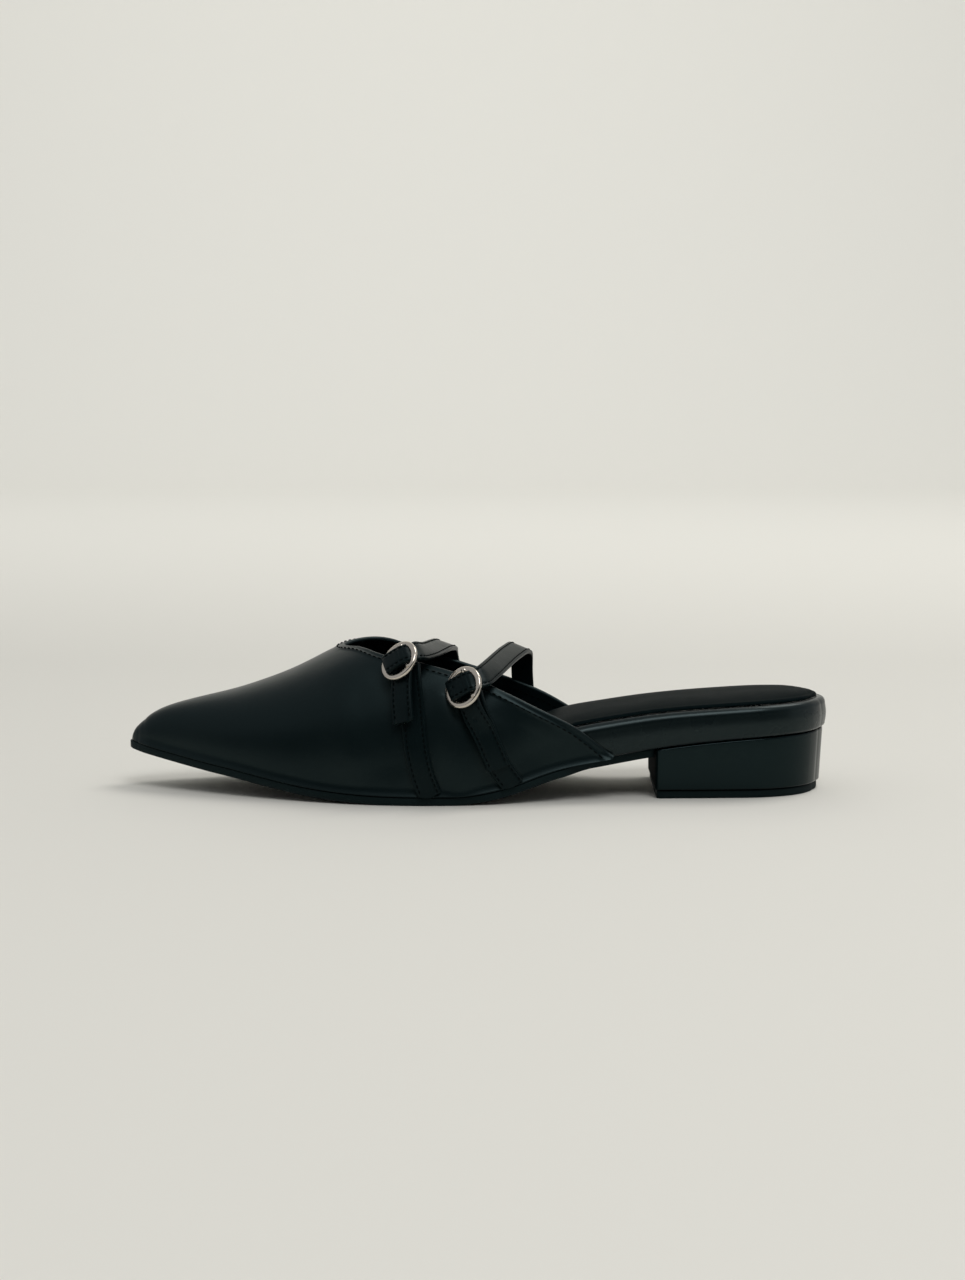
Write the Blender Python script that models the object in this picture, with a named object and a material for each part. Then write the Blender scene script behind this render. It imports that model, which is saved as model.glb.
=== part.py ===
"""A low pointed mule with two buckled straps, for the left foot, modelled as its maker's pieces.

Metres, +Z up, floor at z = 0. The toe points to -X, the outer side to -Y. Every piece is a
function of the last: an outline (plan), a bed line (side view) and a crest line (top of the foot).
"""

import math

import bmesh
import bpy
import numpy as np

# Driving dimensions
LENGTH = 0.266  # outline of the upper and its seat, toe to back
BALL_WIDTH = 0.0785  # across the ball, upper included
SEAT_WIDTH = 0.058  # across the heel seat
TOE_SPRING = 0.0146  # toe above the floor
HEEL_RISE = 0.0207  # heel seat above the ball's bed
CREST_HEIGHT = 0.0530  # crest at the throat above the ball's bed
GAP = 0.0003  # running clearance between neighbours

WALL = 0.0018  # upper's leather and lining
TOE_CAP = 0.0028  # thickness of the upper at its point
SOLE_THICKNESS = 0.0030
SOLE_EDGE = 0.0004  # rounding of the sole's lower edge
WELT = 0.0006  # sole's edge outside the upper
WAIST_INSET = 0.0040  # sole drawn in under the arch

FOOTBED_HEIGHT = 0.0120  # wrapped platform at the heel
FOOTBED_ROLL = 0.0040  # rounding of its upper edge
FOOTBED_START = 0.035
ROLL_FULL = 0.0080  # platform height from which its lower edge is fully rounded
SOCK_MARGIN = 0.0030  # brim between the platform's edge and the sock
SOCK_EDGE = 0.0010
SOCK_SHOULDER = 0.0015  # width of its rounded edge
SOCK_LIP = 0.0003  # rise over that width
SOCK_CROWN = 0.0012
SOCK_START = 0.060

HEEL_START = 0.745  # share of the length where the breast stands
SOLE_END = HEEL_START - 1.5 * GAP / LENGTH  # the sole ends against the breast
HEEL_TOP_INSET = 0.0009  # heel drawn in from the platform, at its top
HEEL_FOOT_INSET = 0.0019  # and at its foot
HEEL_EDGE = 0.0012
LIFT_THICKNESS = 0.0030
LIFT_INSET = 0.0010  # top lift drawn in from the heel's foot

THROAT = 0.303  # share of the length where the opening begins
WING_END = 0.682  # and where the wings end
SIDE_SHARE = 0.15  # share of the way up each section that is the upright side
FULLNESS = 2.2  # roundness of a section, where 2 is an ellipse

STRAP_WIDTH = 0.0085
STRAP_THICKNESS = 0.0016
RING_RADIUS = 0.0068  # to the middle of the wire
WIRE_RADIUS = 0.0011
BAR_RADIUS = 0.0008
HUMP_CLEAR = 0.0028  # from the wire's middle to the foot of the strap's hump over the bar
HUMP_REACH = RING_RADIUS - HUMP_CLEAR

# Outline of the upper at the sole, half widths as shares of the ball width
FRONT_OUTLINE = (
    # along, outer, inner
    (0.000, -0.045, 0.045),
    (0.004, -0.003, 0.088),
    (0.015, 0.028, 0.115),
    (0.035, 0.064, 0.150),
    (0.070, 0.127, 0.201),
    (0.130, 0.232, 0.278),
    (0.200, 0.336, 0.359),
    (0.270, 0.418, 0.425),
    (0.350, 0.484, 0.469),
    (0.420, 0.504, 0.457),
    (0.500, 0.492, 0.401),
    (0.580, 0.452, 0.344),
)
# The same behind the waist, as shares of the seat width
BACK_OUTLINE = (
    # along, outer, inner
    (0.660, 0.555, 0.434),
    (0.740, 0.524, 0.446),
    (0.820, 0.510, 0.478),
    (0.885, 0.492, 0.488),
    (0.935, 0.425, 0.435),
    (0.970, 0.310, 0.328),
    (0.990, 0.182, 0.200),
    (0.998, 0.078, 0.096),
    (1.000, -0.009, 0.009),
)
# Bed line: how far the bed rises, as shares of the toe spring and of the heel rise
BED_LINE = (
    # along, toe, heel
    (0.000, 1.000, 0.000),
    (0.030, 0.890, 0.000),
    (0.085, 0.705, 0.000),
    (0.120, 0.596, 0.000),
    (0.160, 0.480, 0.000),
    (0.215, 0.288, 0.000),
    (0.270, 0.130, 0.000),
    (0.325, 0.045, 0.000),
    (0.370, 0.008, 0.000),
    (0.405, 0.000, 0.000),
    (0.465, 0.000, 0.000),
    (0.515, 0.000, 0.077),
    (0.558, 0.000, 0.227),
    (0.598, 0.000, 0.410),
    (0.626, 0.000, 0.495),
    (0.664, 0.000, 0.575),
    (0.745, 0.000, 0.754),
    (0.810, 0.000, 0.860),
    (0.875, 0.000, 0.932),
    (0.935, 0.000, 0.975),
    (1.000, 0.000, 1.000),
)
# Thickness of the footbed, as shares of its height at the heel
FOOTBED_LINE = (
    # along, height
    (0.000, 0.240),
    (0.270, 0.370),
    (0.420, 0.420),
    (0.500, 0.640),
    (0.560, 0.920),
    (0.600, 1.090),
    (0.640, 1.140),
    (0.750, 1.070),
    (0.830, 0.990),
    (1.000, 0.940),
)
# Crest of the upper and of the foot's form behind it, as shares of the crest height
CREST_LINE = (
    # along, height, side (share of the ball width, inner side positive)
    (0.000, 0.278, 0.045),
    (0.004, 0.352, 0.044),
    (0.012, 0.420, 0.043),
    (0.022, 0.456, 0.042),
    (0.046, 0.510, 0.040),
    (0.096, 0.580, 0.036),
    (0.152, 0.645, 0.034),
    (0.205, 0.735, 0.034),
    (0.232, 0.785, 0.036),
    (0.262, 0.862, 0.040),
    (0.300, 0.960, 0.045),
    (0.345, 1.045, 0.050),
    (0.390, 1.085, 0.050),
    (0.440, 1.100, 0.050),
    (0.495, 1.105, 0.050),
    (0.545, 1.100, 0.050),
    (0.590, 1.080, 0.050),
    (0.630, 1.045, 0.050),
    (0.690, 0.985, 0.045),
)
# Topline, as shares of the opening's length and of the way up each section
TOPLINE = (
    # back, outer, inner
    (0.000, 1.000, 1.000),
    (0.013, 0.920, 0.955),
    (0.070, 0.825, 0.860),
    (0.160, 0.705, 0.760),
    (0.290, 0.637, 0.615),
    (0.420, 0.575, 0.545),
    (0.520, 0.515, 0.487),
    (0.620, 0.435, 0.420),
    (0.720, 0.330, 0.330),
    (0.810, 0.225, 0.225),
    (0.850, 0.190, 0.175),
    (0.880, 0.150, 0.140),
    (0.930, 0.088, 0.088),
    (1.000, 0.004, 0.004),
)
# Middle lines of the straps: way round the section (0 outer edge, 1 crest, 2 inner edge)
FRONT_PATH = (
    # round, along
    (0.00, 0.433),
    (0.18, 0.420),
    (0.31, 0.408),
    (0.59, 0.401),
    (0.70, 0.405),
    (1.40, 0.449),
    (1.70, 0.463),
    (2.00, 0.470),
)
REAR_PATH = (
    # round, along
    (0.00, 0.546),
    (0.19, 0.519),
    (0.35, 0.497),
    (0.46, 0.485),
    (0.59, 0.499),
    (1.60, 0.561),
    (1.80, 0.564),
    (2.00, 0.566),
)
# Places on those lines: the ring, the free end, where the strap leaves the outer wing and lands
# on the inner one. arch is how far it keeps its way at those two places, as shares of the distance
# between them, and lean is how far the ring leans towards the toe, in degrees.
FRONT_BUCKLE = {"round": 0.59, "tail": 0.36, "leaves": 0.66, "lands": 1.42, "arch": (0.26, 0.26), "lean": 32}
REAR_BUCKLE = {"round": 0.46, "tail": 0.155, "leaves": 0.54, "lands": 1.57, "arch": (0.20, 0.85), "lean": 36}

# Where the outline begins, so that the whole shoe is centred on x = 0
TOE_X = (WELT + WALL + GAP - LENGTH) / 2
BALL_BED = SOLE_THICKNESS + GAP
OPENING = WING_END - THROAT


def smooth(table, column, along):
    """Monotone cubic through one column of a table, read at each place of along."""
    x = np.array([row[0] for row in table])
    y = np.array([row[column] for row in table])
    step = np.diff(x)
    slope = np.diff(y) / step
    tangent = np.zeros(len(x))
    tangent[0], tangent[-1] = slope[0], slope[-1]
    same = slope[:-1] * slope[1:] > 0
    first, second = 2 * step[1:] + step[:-1], step[1:] + 2 * step[:-1]
    safe = np.where(same, slope[:-1], 1), np.where(same, slope[1:], 1)
    tangent[1:-1] = np.where(same, (first + second) / (first / safe[0] + second / safe[1]), 0)
    at = np.clip(along, x[0], x[-1])
    i = np.clip(np.searchsorted(x, at, side="right") - 1, 0, len(x) - 2)
    u = (at - x[i]) / step[i]
    left = (1 + 2 * u) * (1 - u) ** 2 * y[i] + u * (1 - u) ** 2 * step[i] * tangent[i]
    right = u * u * (3 - 2 * u) * y[i + 1] + u * u * (u - 1) * step[i] * tangent[i + 1]
    return left + right


OUTLINE = tuple(
    (s, outer * BALL_WIDTH, inner * BALL_WIDTH) for s, outer, inner in FRONT_OUTLINE
) + tuple((s, outer * SEAT_WIDTH, inner * SEAT_WIDTH) for s, outer, inner in BACK_OUTLINE)


def edge(along, side, inset):
    """Plan point (x, y) of the outline, moved inwards by inset. side is -1 outer, +1 inner."""
    column = 1 if side < 0 else 2
    small = 1e-4

    def at(s):
        return np.stack([TOE_X + LENGTH * s, side * smooth(OUTLINE, column, s)], axis=-1)

    before, after = np.clip(along - small, 0, 1), np.clip(along + small, 0, 1)
    run = at(after) - at(before)
    run /= np.linalg.norm(run, axis=-1, keepdims=True)
    # At either end both sides meet, and the way in is along the shoe.
    run[along <= 0] = (0, side)
    run[along >= 1] = (0, -side)
    inwards = np.stack([run[..., 1] * side, -run[..., 0] * side], axis=-1)
    return at(along) + inwards * np.asarray(inset)[..., None]


def bed(x):
    """Height of the bed, the plane between the outsole and all that stands on it."""
    along = (x - TOE_X) / LENGTH
    return BALL_BED + smooth(BED_LINE, 1, along) * TOE_SPRING + smooth(BED_LINE, 2, along) * HEEL_RISE


def footbed_height(x):
    return smooth(FOOTBED_LINE, 1, (x - TOE_X) / LENGTH) * FOOTBED_HEIGHT


def crest(along, inset):
    """Point of the crest line, moved inwards by inset at right angles to it."""
    small = 1e-4

    def at(s):
        high = BALL_BED + smooth(CREST_LINE, 1, s) * CREST_HEIGHT
        return np.stack([TOE_X + LENGTH * s, smooth(CREST_LINE, 2, s) * BALL_WIDTH, high], axis=-1)

    run = at(along + small) - at(np.maximum(along - small, 0))
    run /= np.linalg.norm(run, axis=-1, keepdims=True)
    run[along <= 0] = (0, 0, 1)
    inwards = np.stack([run[..., 2], 0 * along, -run[..., 0]], axis=-1)
    return at(along) + inwards * np.asarray(inset)[..., None]


def form(along, round_, inset):
    """Point of the foot's form. round_ goes from 0 at the outer edge over 1, the crest, to 2."""
    outer = round_ <= 1
    up = np.where(outer, round_, 2 - round_)
    foot = np.where(outer[..., None], edge(along, -1, inset), edge(along, 1, inset))
    top = crest(along, inset)
    low = bed(foot[..., 0])
    # The upright side follows the footbed, except at the toe, where the crest comes down to it.
    side = np.minimum(0.9 * footbed_height(foot[..., 0]), 0.45 * np.maximum(top[..., 2] - low, 0))
    turn = np.clip((up - SIDE_SHARE) / (1 - SIDE_SHARE), 0, 1) * math.pi / 2
    power = 2 / FULLNESS
    out, high = np.cos(turn).clip(0) ** power, np.sin(turn) ** power
    height = low + side * np.clip(up / SIDE_SHARE, 0, 1) + (top[..., 2] - low - side) * high
    x = top[..., 0] + (foot[..., 0] - top[..., 0]) * out
    y = top[..., 1] + (foot[..., 1] - top[..., 1]) * out
    return np.stack([x, y, height], axis=-1)


def material(name, colour, roughness, metallic=0.0):
    made = bpy.data.materials.new(name)
    made.use_nodes = True
    shader = made.node_tree.nodes["Principled BSDF"]
    shader.inputs["Base Color"].default_value = (*colour, 1)
    shader.inputs["Roughness"].default_value = roughness
    shader.inputs["Metallic"].default_value = metallic
    return made


def solid(name, sheets, finish):
    """One closed body from grids of points. Each sheet is rows x columns, and shared edges weld."""
    mesh = bpy.data.meshes.new(name)
    body = bmesh.new()
    for sheet in sheets:
        rows = [[body.verts.new(point) for point in row] for row in sheet]
        for low, high in zip(rows, rows[1:]):
            for a, b, c, d in zip(low, low[1:], high[1:], high):
                body.faces.new((a, b, c, d))
    bmesh.ops.remove_doubles(body, verts=body.verts, dist=2e-6)
    bmesh.ops.recalc_face_normals(body, faces=body.faces)
    body.to_mesh(mesh)
    body.free()
    mesh.shade_smooth()
    mesh.set_sharp_from_angle(angle=math.radians(35))
    made = bpy.data.objects.new(name, mesh)
    made.data.materials.append(finish)
    bpy.context.scene.collection.objects.link(made)
    return made


def across(outer, inner, columns, crown=0.0):
    """Rows of points from the outer edge to the inner edge, raised by crown in the middle."""
    share = np.linspace(0, 1, columns)[None, :, None]
    sheet = outer[:, None] * (1 - share) + inner[:, None] * share
    lift = np.asarray(crown)[..., None] * (1 - (2 * share[..., 0] - 1) ** 4)
    sheet[..., 2] += lift
    return sheet


def slab(name, along, levels, finish, crown=0.0, columns=3):
    """A layer of the sole: levels are (inset, height) from the bottom up, as arrays or numbers."""
    edges = []
    for inset, height in levels:
        pair = []
        for side in (-1, 1):
            plan = edge(along, side, inset + 0 * along)
            high = height(plan[:, 0]) if callable(height) else height + 0 * along
            pair.append(np.column_stack([plan, high]))
        edges.append(pair)
    sheets = [across(*edges[0], columns), across(*edges[-1], columns, crown)]
    sheets += [np.stack([level[side] for level in edges]) for side in (0, 1)]
    for end in (0, -1):
        bars = [across(level[0][[end]], level[1][[end]], columns)[0] for level in edges]
        sheets.append(np.stack(bars))
    return solid(name, sheets, finish)


def stations(start, end, count, fine_start=False, fine_end=False):
    """Places along the shoe, closer together at a round end."""
    share = np.linspace(0, 1, count)
    if fine_start:
        share = share**1.7
    if fine_end:
        share = 1 - (1 - share) ** 1.9
    return start + (end - start) * share


def make_outsole(finish):
    along = stations(0, SOLE_END, 40, fine_start=True)
    waist = np.clip((along - 0.61) / 0.05, 0, 1)
    inset = -WELT + (WALL + WAIST_INSET + WELT) * waist * waist * (3 - 2 * waist)

    def under(x):
        return bed(x) - GAP - SOLE_THICKNESS

    levels = (
        (inset + SOLE_EDGE, under),
        (inset, lambda x: under(x) + SOLE_EDGE),
        (inset, lambda x: bed(x) - GAP),
    )
    return slab("outsole", along, levels, finish)


def make_footbed(finish):
    along = stations(FOOTBED_START, 1, 40, fine_end=True)
    inset = WALL + GAP + 0 * along
    levels = (
        (inset + 0.4 * FOOTBED_ROLL, bed),
        (inset, lambda x: bed(x) + 0.4 * FOOTBED_ROLL * np.minimum(1, footbed_height(x) / ROLL_FULL)),
        (inset, lambda x: bed(x) + footbed_height(x) - np.minimum(FOOTBED_ROLL, footbed_height(x) / 3)),
        (inset + 0.3 * FOOTBED_ROLL, lambda x: bed(x) + footbed_height(x) - 0.1 * FOOTBED_ROLL),
        (inset + 0.8 * FOOTBED_ROLL, lambda x: bed(x) + footbed_height(x)),
    )
    return slab("footbed", along, levels, finish)


def make_sock(finish):
    along = stations(SOCK_START, 1, 36, fine_end=True)
    inset = WALL + GAP + SOCK_MARGIN + 0 * along

    def seat(x):
        return bed(x) + footbed_height(x) + GAP

    levels = (
        (inset, seat),
        (inset, lambda x: seat(x) + 0.6 * SOCK_EDGE),
        (inset + SOCK_SHOULDER, lambda x: seat(x) + SOCK_EDGE + SOCK_LIP),
    )
    crown = SOCK_CROWN * np.clip((1 - along) / 0.04, 0, 1) * np.clip((along - SOCK_START) / 0.05, 0, 1)
    return slab("insole_sock", along, levels, finish, crown, columns=9)


def make_heel(finish):
    """Heel block, with a flat breast that the outsole ends against."""
    along = stations(HEEL_START, 1, 28, fine_end=True)
    top_inset = WALL + GAP + HEEL_TOP_INSET + 0 * along
    foot_inset = WALL + GAP + HEEL_FOOT_INSET + 0 * along

    levels = (
        (foot_inset, LIFT_THICKNESS + GAP),
        (foot_inset, LIFT_THICKNESS + GAP + HEEL_EDGE),
        (top_inset, lambda x: bed(x) - GAP - HEEL_EDGE),
        (top_inset, lambda x: bed(x) - GAP),
    )
    return slab("heel_block", along, levels, finish)


def make_lift(finish):
    along = stations(HEEL_START + LIFT_INSET / LENGTH / 2, 1, 26, fine_end=True)
    inset = WALL + GAP + HEEL_FOOT_INSET + LIFT_INSET + 0 * along
    return slab("top_lift", along, ((inset, 0.0), (inset, LIFT_THICKNESS)), finish)


def make_upper(finish):
    """One hollow wall from the sole to the topline: closed over the toe, two wings behind it."""
    toe = stations(0, THROAT, 24, fine_start=True)
    back = np.linspace(0, 1, 25)[1:] ** 1.5 * OPENING + THROAT
    along = np.concatenate([toe, back])
    lined = along + TOE_CAP / LENGTH * np.clip(1 - along / THROAT, 0, 1)
    behind = (along - THROAT) / OPENING
    rooted = tuple((math.sqrt(row[0]), row[1], row[2]) for row in TOPLINE)
    share = np.linspace(0, 1, 11)[None, :] ** 0.9
    open_from = len(toe) - 1
    sheets = []
    points = []
    for side in (1, 2):
        reach = np.where(behind > 0, smooth(rooted, side, np.sqrt(np.clip(behind, 0, 1))), 1.0)
        up = reach[:, None] * share
        round_ = up if side == 1 else 2 - up
        grids = [np.broadcast_to(places[:, None], up.shape) for places in (along, lined)]
        walls = [form(grid, round_, inset + 0 * up) for grid, inset in zip(grids, (0.0, WALL))]
        walls[1][:, 0, 2] = walls[0][:, 0, 2]
        # The section at the tip of the toe is one point.
        walls[0][0] = walls[0][0, 0]
        sheets += walls
        sheets.append(np.stack([wall[:, 0] for wall in walls]))
        sheets.append(np.stack([wall[-1] for wall in walls]))
        sheets.append(np.stack([wall[open_from:, -1] for wall in walls]))
        points.append([wall[0] for wall in walls])
    (outer_point, outer_lining), (_, inner_lining) = points
    sheets.append(np.stack([outer_lining, inner_lining]))
    sheets.append(np.array([[outer_point[0], outer_point[0]], [outer_lining[0], inner_lining[0]]]))
    return solid("upper", sheets, finish)


def frame_on_path(path, round_, height):
    """Point on a strap's middle line at a height over the upper, with its directions."""
    small = 1e-3

    def at(turn, rise):
        return form(smooth(path, 1, turn), turn, -rise)

    middle = at(round_, height)
    along_strap = at(round_ + small, height) - at(round_ - small, height)
    along_strap /= np.linalg.norm(along_strap, axis=-1, keepdims=True)
    place = smooth(path, 1, round_)
    shoe_way = form(place + small, round_, -height) - form(place - small, round_, -height)
    outwards = np.cross(shoe_way, along_strap)
    outwards /= np.linalg.norm(outwards, axis=-1, keepdims=True)
    outwards *= np.where((outwards * middle).sum(axis=-1, keepdims=True) < 0, -1, 1)
    return middle, along_strap, outwards


def band(name, middle, sideways, finish):
    """A flat strap along middle, as wide as the strap sideways, half its thickness either side."""
    facing = np.cross(sideways, np.gradient(middle, axis=0))
    facing /= np.linalg.norm(facing, axis=1, keepdims=True)
    half, thick = STRAP_WIDTH / 2, STRAP_THICKNESS / 2
    ring = ((-half, -thick), (0, -thick), (half, -thick), (half, thick), (0, thick), (-half, thick))
    loop = [middle + a * sideways + b * facing for a, b in ring]
    walls = np.stack(loop + loop[:1], axis=1)
    # A strap's end follows the sole's edge.
    walls[..., 2] = np.maximum(walls[..., 2], bed(walls[..., 0]))
    ends = [np.stack([walls[i, :3], walls[i, 5:2:-1]]) for i in (0, -1)]
    return solid(name, [walls, *ends], finish)


def strap_heights(distance, buckle_height):
    """Height of a crossing strap's middle: low past the ring, over the bar, high on the anchor."""
    low, high = GAP + STRAP_THICKNESS / 2, 2 * GAP + 1.5 * STRAP_THICKNESS
    change = np.clip(distance / RING_RADIUS, 0, 1)
    rest = high + (low - high) * change * change * (3 - 2 * change)
    over = buckle_height + BAR_RADIUS + GAP + STRAP_THICKNESS / 2
    hump = 0.5 + 0.5 * np.cos(math.pi * np.clip(distance / HUMP_REACH, -1, 1))
    return rest + (over - high) * hump


def leaning(buckle, distance):
    """Lean at a distance along the strap from the ring, in radians, and the lift that clears it."""
    reach = np.where(distance < 0, 2.2, 1.6)
    near = np.clip((reach - np.abs(distance) / RING_RADIUS) / (reach - 0.8), 0, 1)
    lean = math.radians(buckle["lean"]) * near * near * (3 - 2 * near)
    return lean, STRAP_WIDTH / 2 * np.sin(lean)


def leant(run, outwards, lean):
    """Outward and sideways directions, turned about the strap's line with the toe side down."""
    side = np.cross(run, outwards)
    cos, sin = np.cos(lean)[..., None], np.sin(lean)[..., None]
    return outwards * cos - side * sin, side * cos + outwards * sin


def arch(first, first_way, last, last_way, share):
    """Cubic curve from first to last that starts and ends along the two ways, by their lengths."""
    u = share[:, None]
    return (
        (1 + 2 * u) * (1 - u) ** 2 * first
        + u * (1 - u) ** 2 * first_way
        + u * u * (3 - 2 * u) * last
        + u * u * (u - 1) * last_way
    )


def layer(path, buckle, distance, height):
    """Points at a height over the upper, at distances from the ring, with the way and the face."""
    turn = np.linspace(0.004, buckle["leaves"] + 0.1, 300)
    base = form(smooth(path, 1, turn), turn, 0 * turn - GAP)
    steps = np.linalg.norm(np.diff(base, axis=0), axis=1)
    length = np.concatenate([[0], np.cumsum(steps)])
    from_ring = length - np.interp(buckle["round"], turn, length)
    lean, lift = leaning(buckle, distance)
    turn = np.interp(distance, from_ring, turn)
    middle, run, outwards = frame_on_path(path, turn, lift)
    outwards, side = leant(run, outwards, lean)
    return middle + outwards * np.asarray(height)[..., None], run, outwards, side


def distance_to(path, buckle, place):
    """Length over the form from the ring to a turn round the section, negative on the outer side."""
    turn = np.linspace(buckle["round"], place, 200)
    base = form(smooth(path, 1, turn), turn, 0 * turn - GAP)
    return math.copysign(np.linalg.norm(np.diff(base, axis=0), axis=1).sum(), place - buckle["round"])


def tail_stations(path, buckle):
    """Distances from the ring that a free tail and the anchor under it share."""
    return np.linspace(distance_to(path, buckle, buckle["tail"]), -RING_RADIUS, 12)[:-1]


def make_strap(name, path, buckle, finish):
    """Crossing strap: its free tail, through the ring, over the foot and down the inner wing."""
    near = np.linspace(-RING_RADIUS, distance_to(path, buckle, buckle["leaves"]), 19)
    distance = np.concatenate([tail_stations(path, buckle), near])
    height = strap_heights(distance, buckle["height"])
    outer_part, outer_way, _, outer_side = layer(path, buckle, distance, height)
    turn = np.linspace(buckle["lands"], 1.995, 10)
    low = 0 * turn + GAP + STRAP_THICKNESS / 2
    inner_part, inner_way, inner_face = frame_on_path(path, turn, low)
    share = np.linspace(0, 1, 18)[1:-1]
    rise, fall = np.array(buckle["arch"]) * np.linalg.norm(inner_part[0] - outer_part[-1])
    over = arch(outer_part[-1], rise * outer_way[-1], inner_part[0], fall * inner_way[0], share)
    inner_side = np.cross(inner_way, inner_face)
    over_side = outer_side[-1] * (1 - share[:, None]) + inner_side[0] * share[:, None]
    over_side /= np.linalg.norm(over_side, axis=1, keepdims=True)
    middle = np.concatenate([outer_part, over, inner_part])
    return band(name, middle, np.concatenate([outer_side, over_side, inner_side]), finish)


def make_anchor(name, path, buckle, finish):
    """Short strap up the outer side, ending in a fold under the ring's bar."""
    tail = tail_stations(path, buckle)
    below = np.linspace(distance_to(path, buckle, 0.004), tail[0], 16)[:-1]
    distance = np.concatenate([below, tail, np.linspace(-RING_RADIUS, -BAR_RADIUS, 6)])
    middle, _, _, side = layer(path, buckle, distance, 0 * distance + GAP + STRAP_THICKNESS / 2)
    return band(name, middle, side, finish)


def make_buckle(name, path, buckle, finish):
    """Round ring with a centre bar, lying over the strap. One body: the bar is fused by a Boolean."""
    middle, run, outwards, side = (item[0] for item in layer(path, buckle, np.zeros(1), buckle["height"]))
    around = np.linspace(0, 2 * math.pi, 33)[:, None, None]
    wire = np.linspace(0, 2 * math.pi, 9)[None, :, None]
    radius = RING_RADIUS + WIRE_RADIUS * np.cos(wire)
    ring = (
        middle
        + radius * np.cos(around) * run
        + radius * np.sin(around) * side
        + WIRE_RADIUS * np.sin(wire) * outwards
    )
    made = solid(name, [ring], finish)
    reach = np.array([-1, 1])[:, None, None] * RING_RADIUS
    bar_around = np.linspace(0, 2 * math.pi, 9)[None, :, None] + math.pi / 8
    bar = middle + reach * side
    bar = bar + BAR_RADIUS * (np.cos(bar_around) * run + np.sin(bar_around) * outwards)
    caps = [np.stack([bar[i], np.broadcast_to(bar[i, :-1].mean(axis=0), bar[i].shape)]) for i in (0, 1)]
    rod = solid(name + "_bar", [bar, *caps], finish)
    rod.hide_render = True
    rod.display_type = "WIRE"
    fuse = made.modifiers.new("bar", "BOOLEAN")
    fuse.operation = "UNION"
    fuse.object = rod
    return made, rod


def centre_on_floor(pieces):
    """Move every piece alike, so that the shoe's box is centred on the origin."""
    corners = np.array([tuple(v.co) for piece in pieces for v in piece.data.vertices])
    middle = (corners.min(axis=0) + corners.max(axis=0)) / 2
    for piece in pieces:
        piece.location = (-middle[0], -middle[1], 0)


def main():
    for old in list(bpy.data.objects):
        bpy.data.objects.remove(old)
    bpy.context.scene.unit_settings.scale_length = 1.0
    leather = material("black smooth leather", (0.012, 0.014, 0.014), 0.38)
    pieces = [
        make_outsole(material("black sole board", (0.014, 0.014, 0.014), 0.6)),
        make_footbed(material("black wrapped footbed", (0.012, 0.013, 0.013), 0.4)),
        make_sock(material("black padded sock", (0.013, 0.013, 0.014), 0.45)),
        make_heel(material("black glossy heel", (0.006, 0.006, 0.006), 0.08)),
        make_lift(material("black rubber", (0.016, 0.016, 0.016), 0.75)),
        make_upper(leather),
    ]
    straps = (("front", FRONT_PATH, FRONT_BUCKLE), ("rear", REAR_PATH, REAR_BUCKLE))
    for name, path, place in straps:
        # The ring's wire clears the tail, which lies on the anchor. The form falls away under it.
        buckle = dict(place, height=3 * GAP + 2 * STRAP_THICKNESS + WIRE_RADIUS + GAP / 2)
        strap_finish = material(f"black strap leather {name}", (0.012, 0.014, 0.014), 0.36)
        metal = material(f"polished metal {name}", (0.78, 0.77, 0.74), 0.12, 1.0)
        pieces.append(make_strap(f"{name}_strap", path, buckle, strap_finish))
        pieces.append(make_anchor(f"{name}_anchor", path, buckle, strap_finish))
        pieces += make_buckle(f"{name}_buckle", path, buckle, metal)
    centre_on_floor(pieces)


main()
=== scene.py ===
import math

import bmesh
import bpy
import numpy as np
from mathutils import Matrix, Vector
from mathutils.bvhtree import BVHTree


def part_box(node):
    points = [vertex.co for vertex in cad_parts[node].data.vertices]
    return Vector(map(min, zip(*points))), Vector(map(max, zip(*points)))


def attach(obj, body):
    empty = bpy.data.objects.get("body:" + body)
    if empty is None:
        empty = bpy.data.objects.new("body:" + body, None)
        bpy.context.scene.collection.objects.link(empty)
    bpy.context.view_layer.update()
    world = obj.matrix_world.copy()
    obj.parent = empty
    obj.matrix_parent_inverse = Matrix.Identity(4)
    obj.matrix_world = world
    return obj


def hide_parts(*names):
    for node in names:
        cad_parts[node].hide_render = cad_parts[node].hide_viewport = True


# Low pointed mule, left foot. Metres, toe towards -X, outer side towards -Y, floor at z = 0.
# Every fine piece here is worked out from the last, whose sizes are those of the solids.

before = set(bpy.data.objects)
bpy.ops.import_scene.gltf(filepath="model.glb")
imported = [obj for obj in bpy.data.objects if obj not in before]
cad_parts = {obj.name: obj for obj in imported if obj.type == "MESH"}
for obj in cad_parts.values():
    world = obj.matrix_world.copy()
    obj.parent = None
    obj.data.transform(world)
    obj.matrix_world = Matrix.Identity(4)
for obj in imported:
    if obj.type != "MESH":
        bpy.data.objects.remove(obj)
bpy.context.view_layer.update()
print("stage 1: frame loaded,", len(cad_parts), "nodes")

# The last. Lengths are in metres, throat and wingEnd are shares of its length.
last = {
    "length": 0.266,
    "ballWidth": 0.0785,
    "seatWidth": 0.058,
    "toeSpring": 0.0146,
    "heelRise": 0.0207,
    "crestHeight": 0.0530,
    "ballBed": 0.0033,
    "platform": 0.0120,
    "throat": 0.303,
    "wingEnd": 0.682,
    "sideShare": 0.15,  # upright part of a section
    "sidePlatform": 0.9,  # its height, as a share of the platform's
    "sideCrest": 0.45,  # and as a share of the crest's, whichever is lower
    "sideBlend": 6,
    "fullness": 2.2,  # 2 is an ellipse
    "clearance": 0.0003,
    "wall": 0.0018,
    "welt": 0.0006,
}

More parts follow.
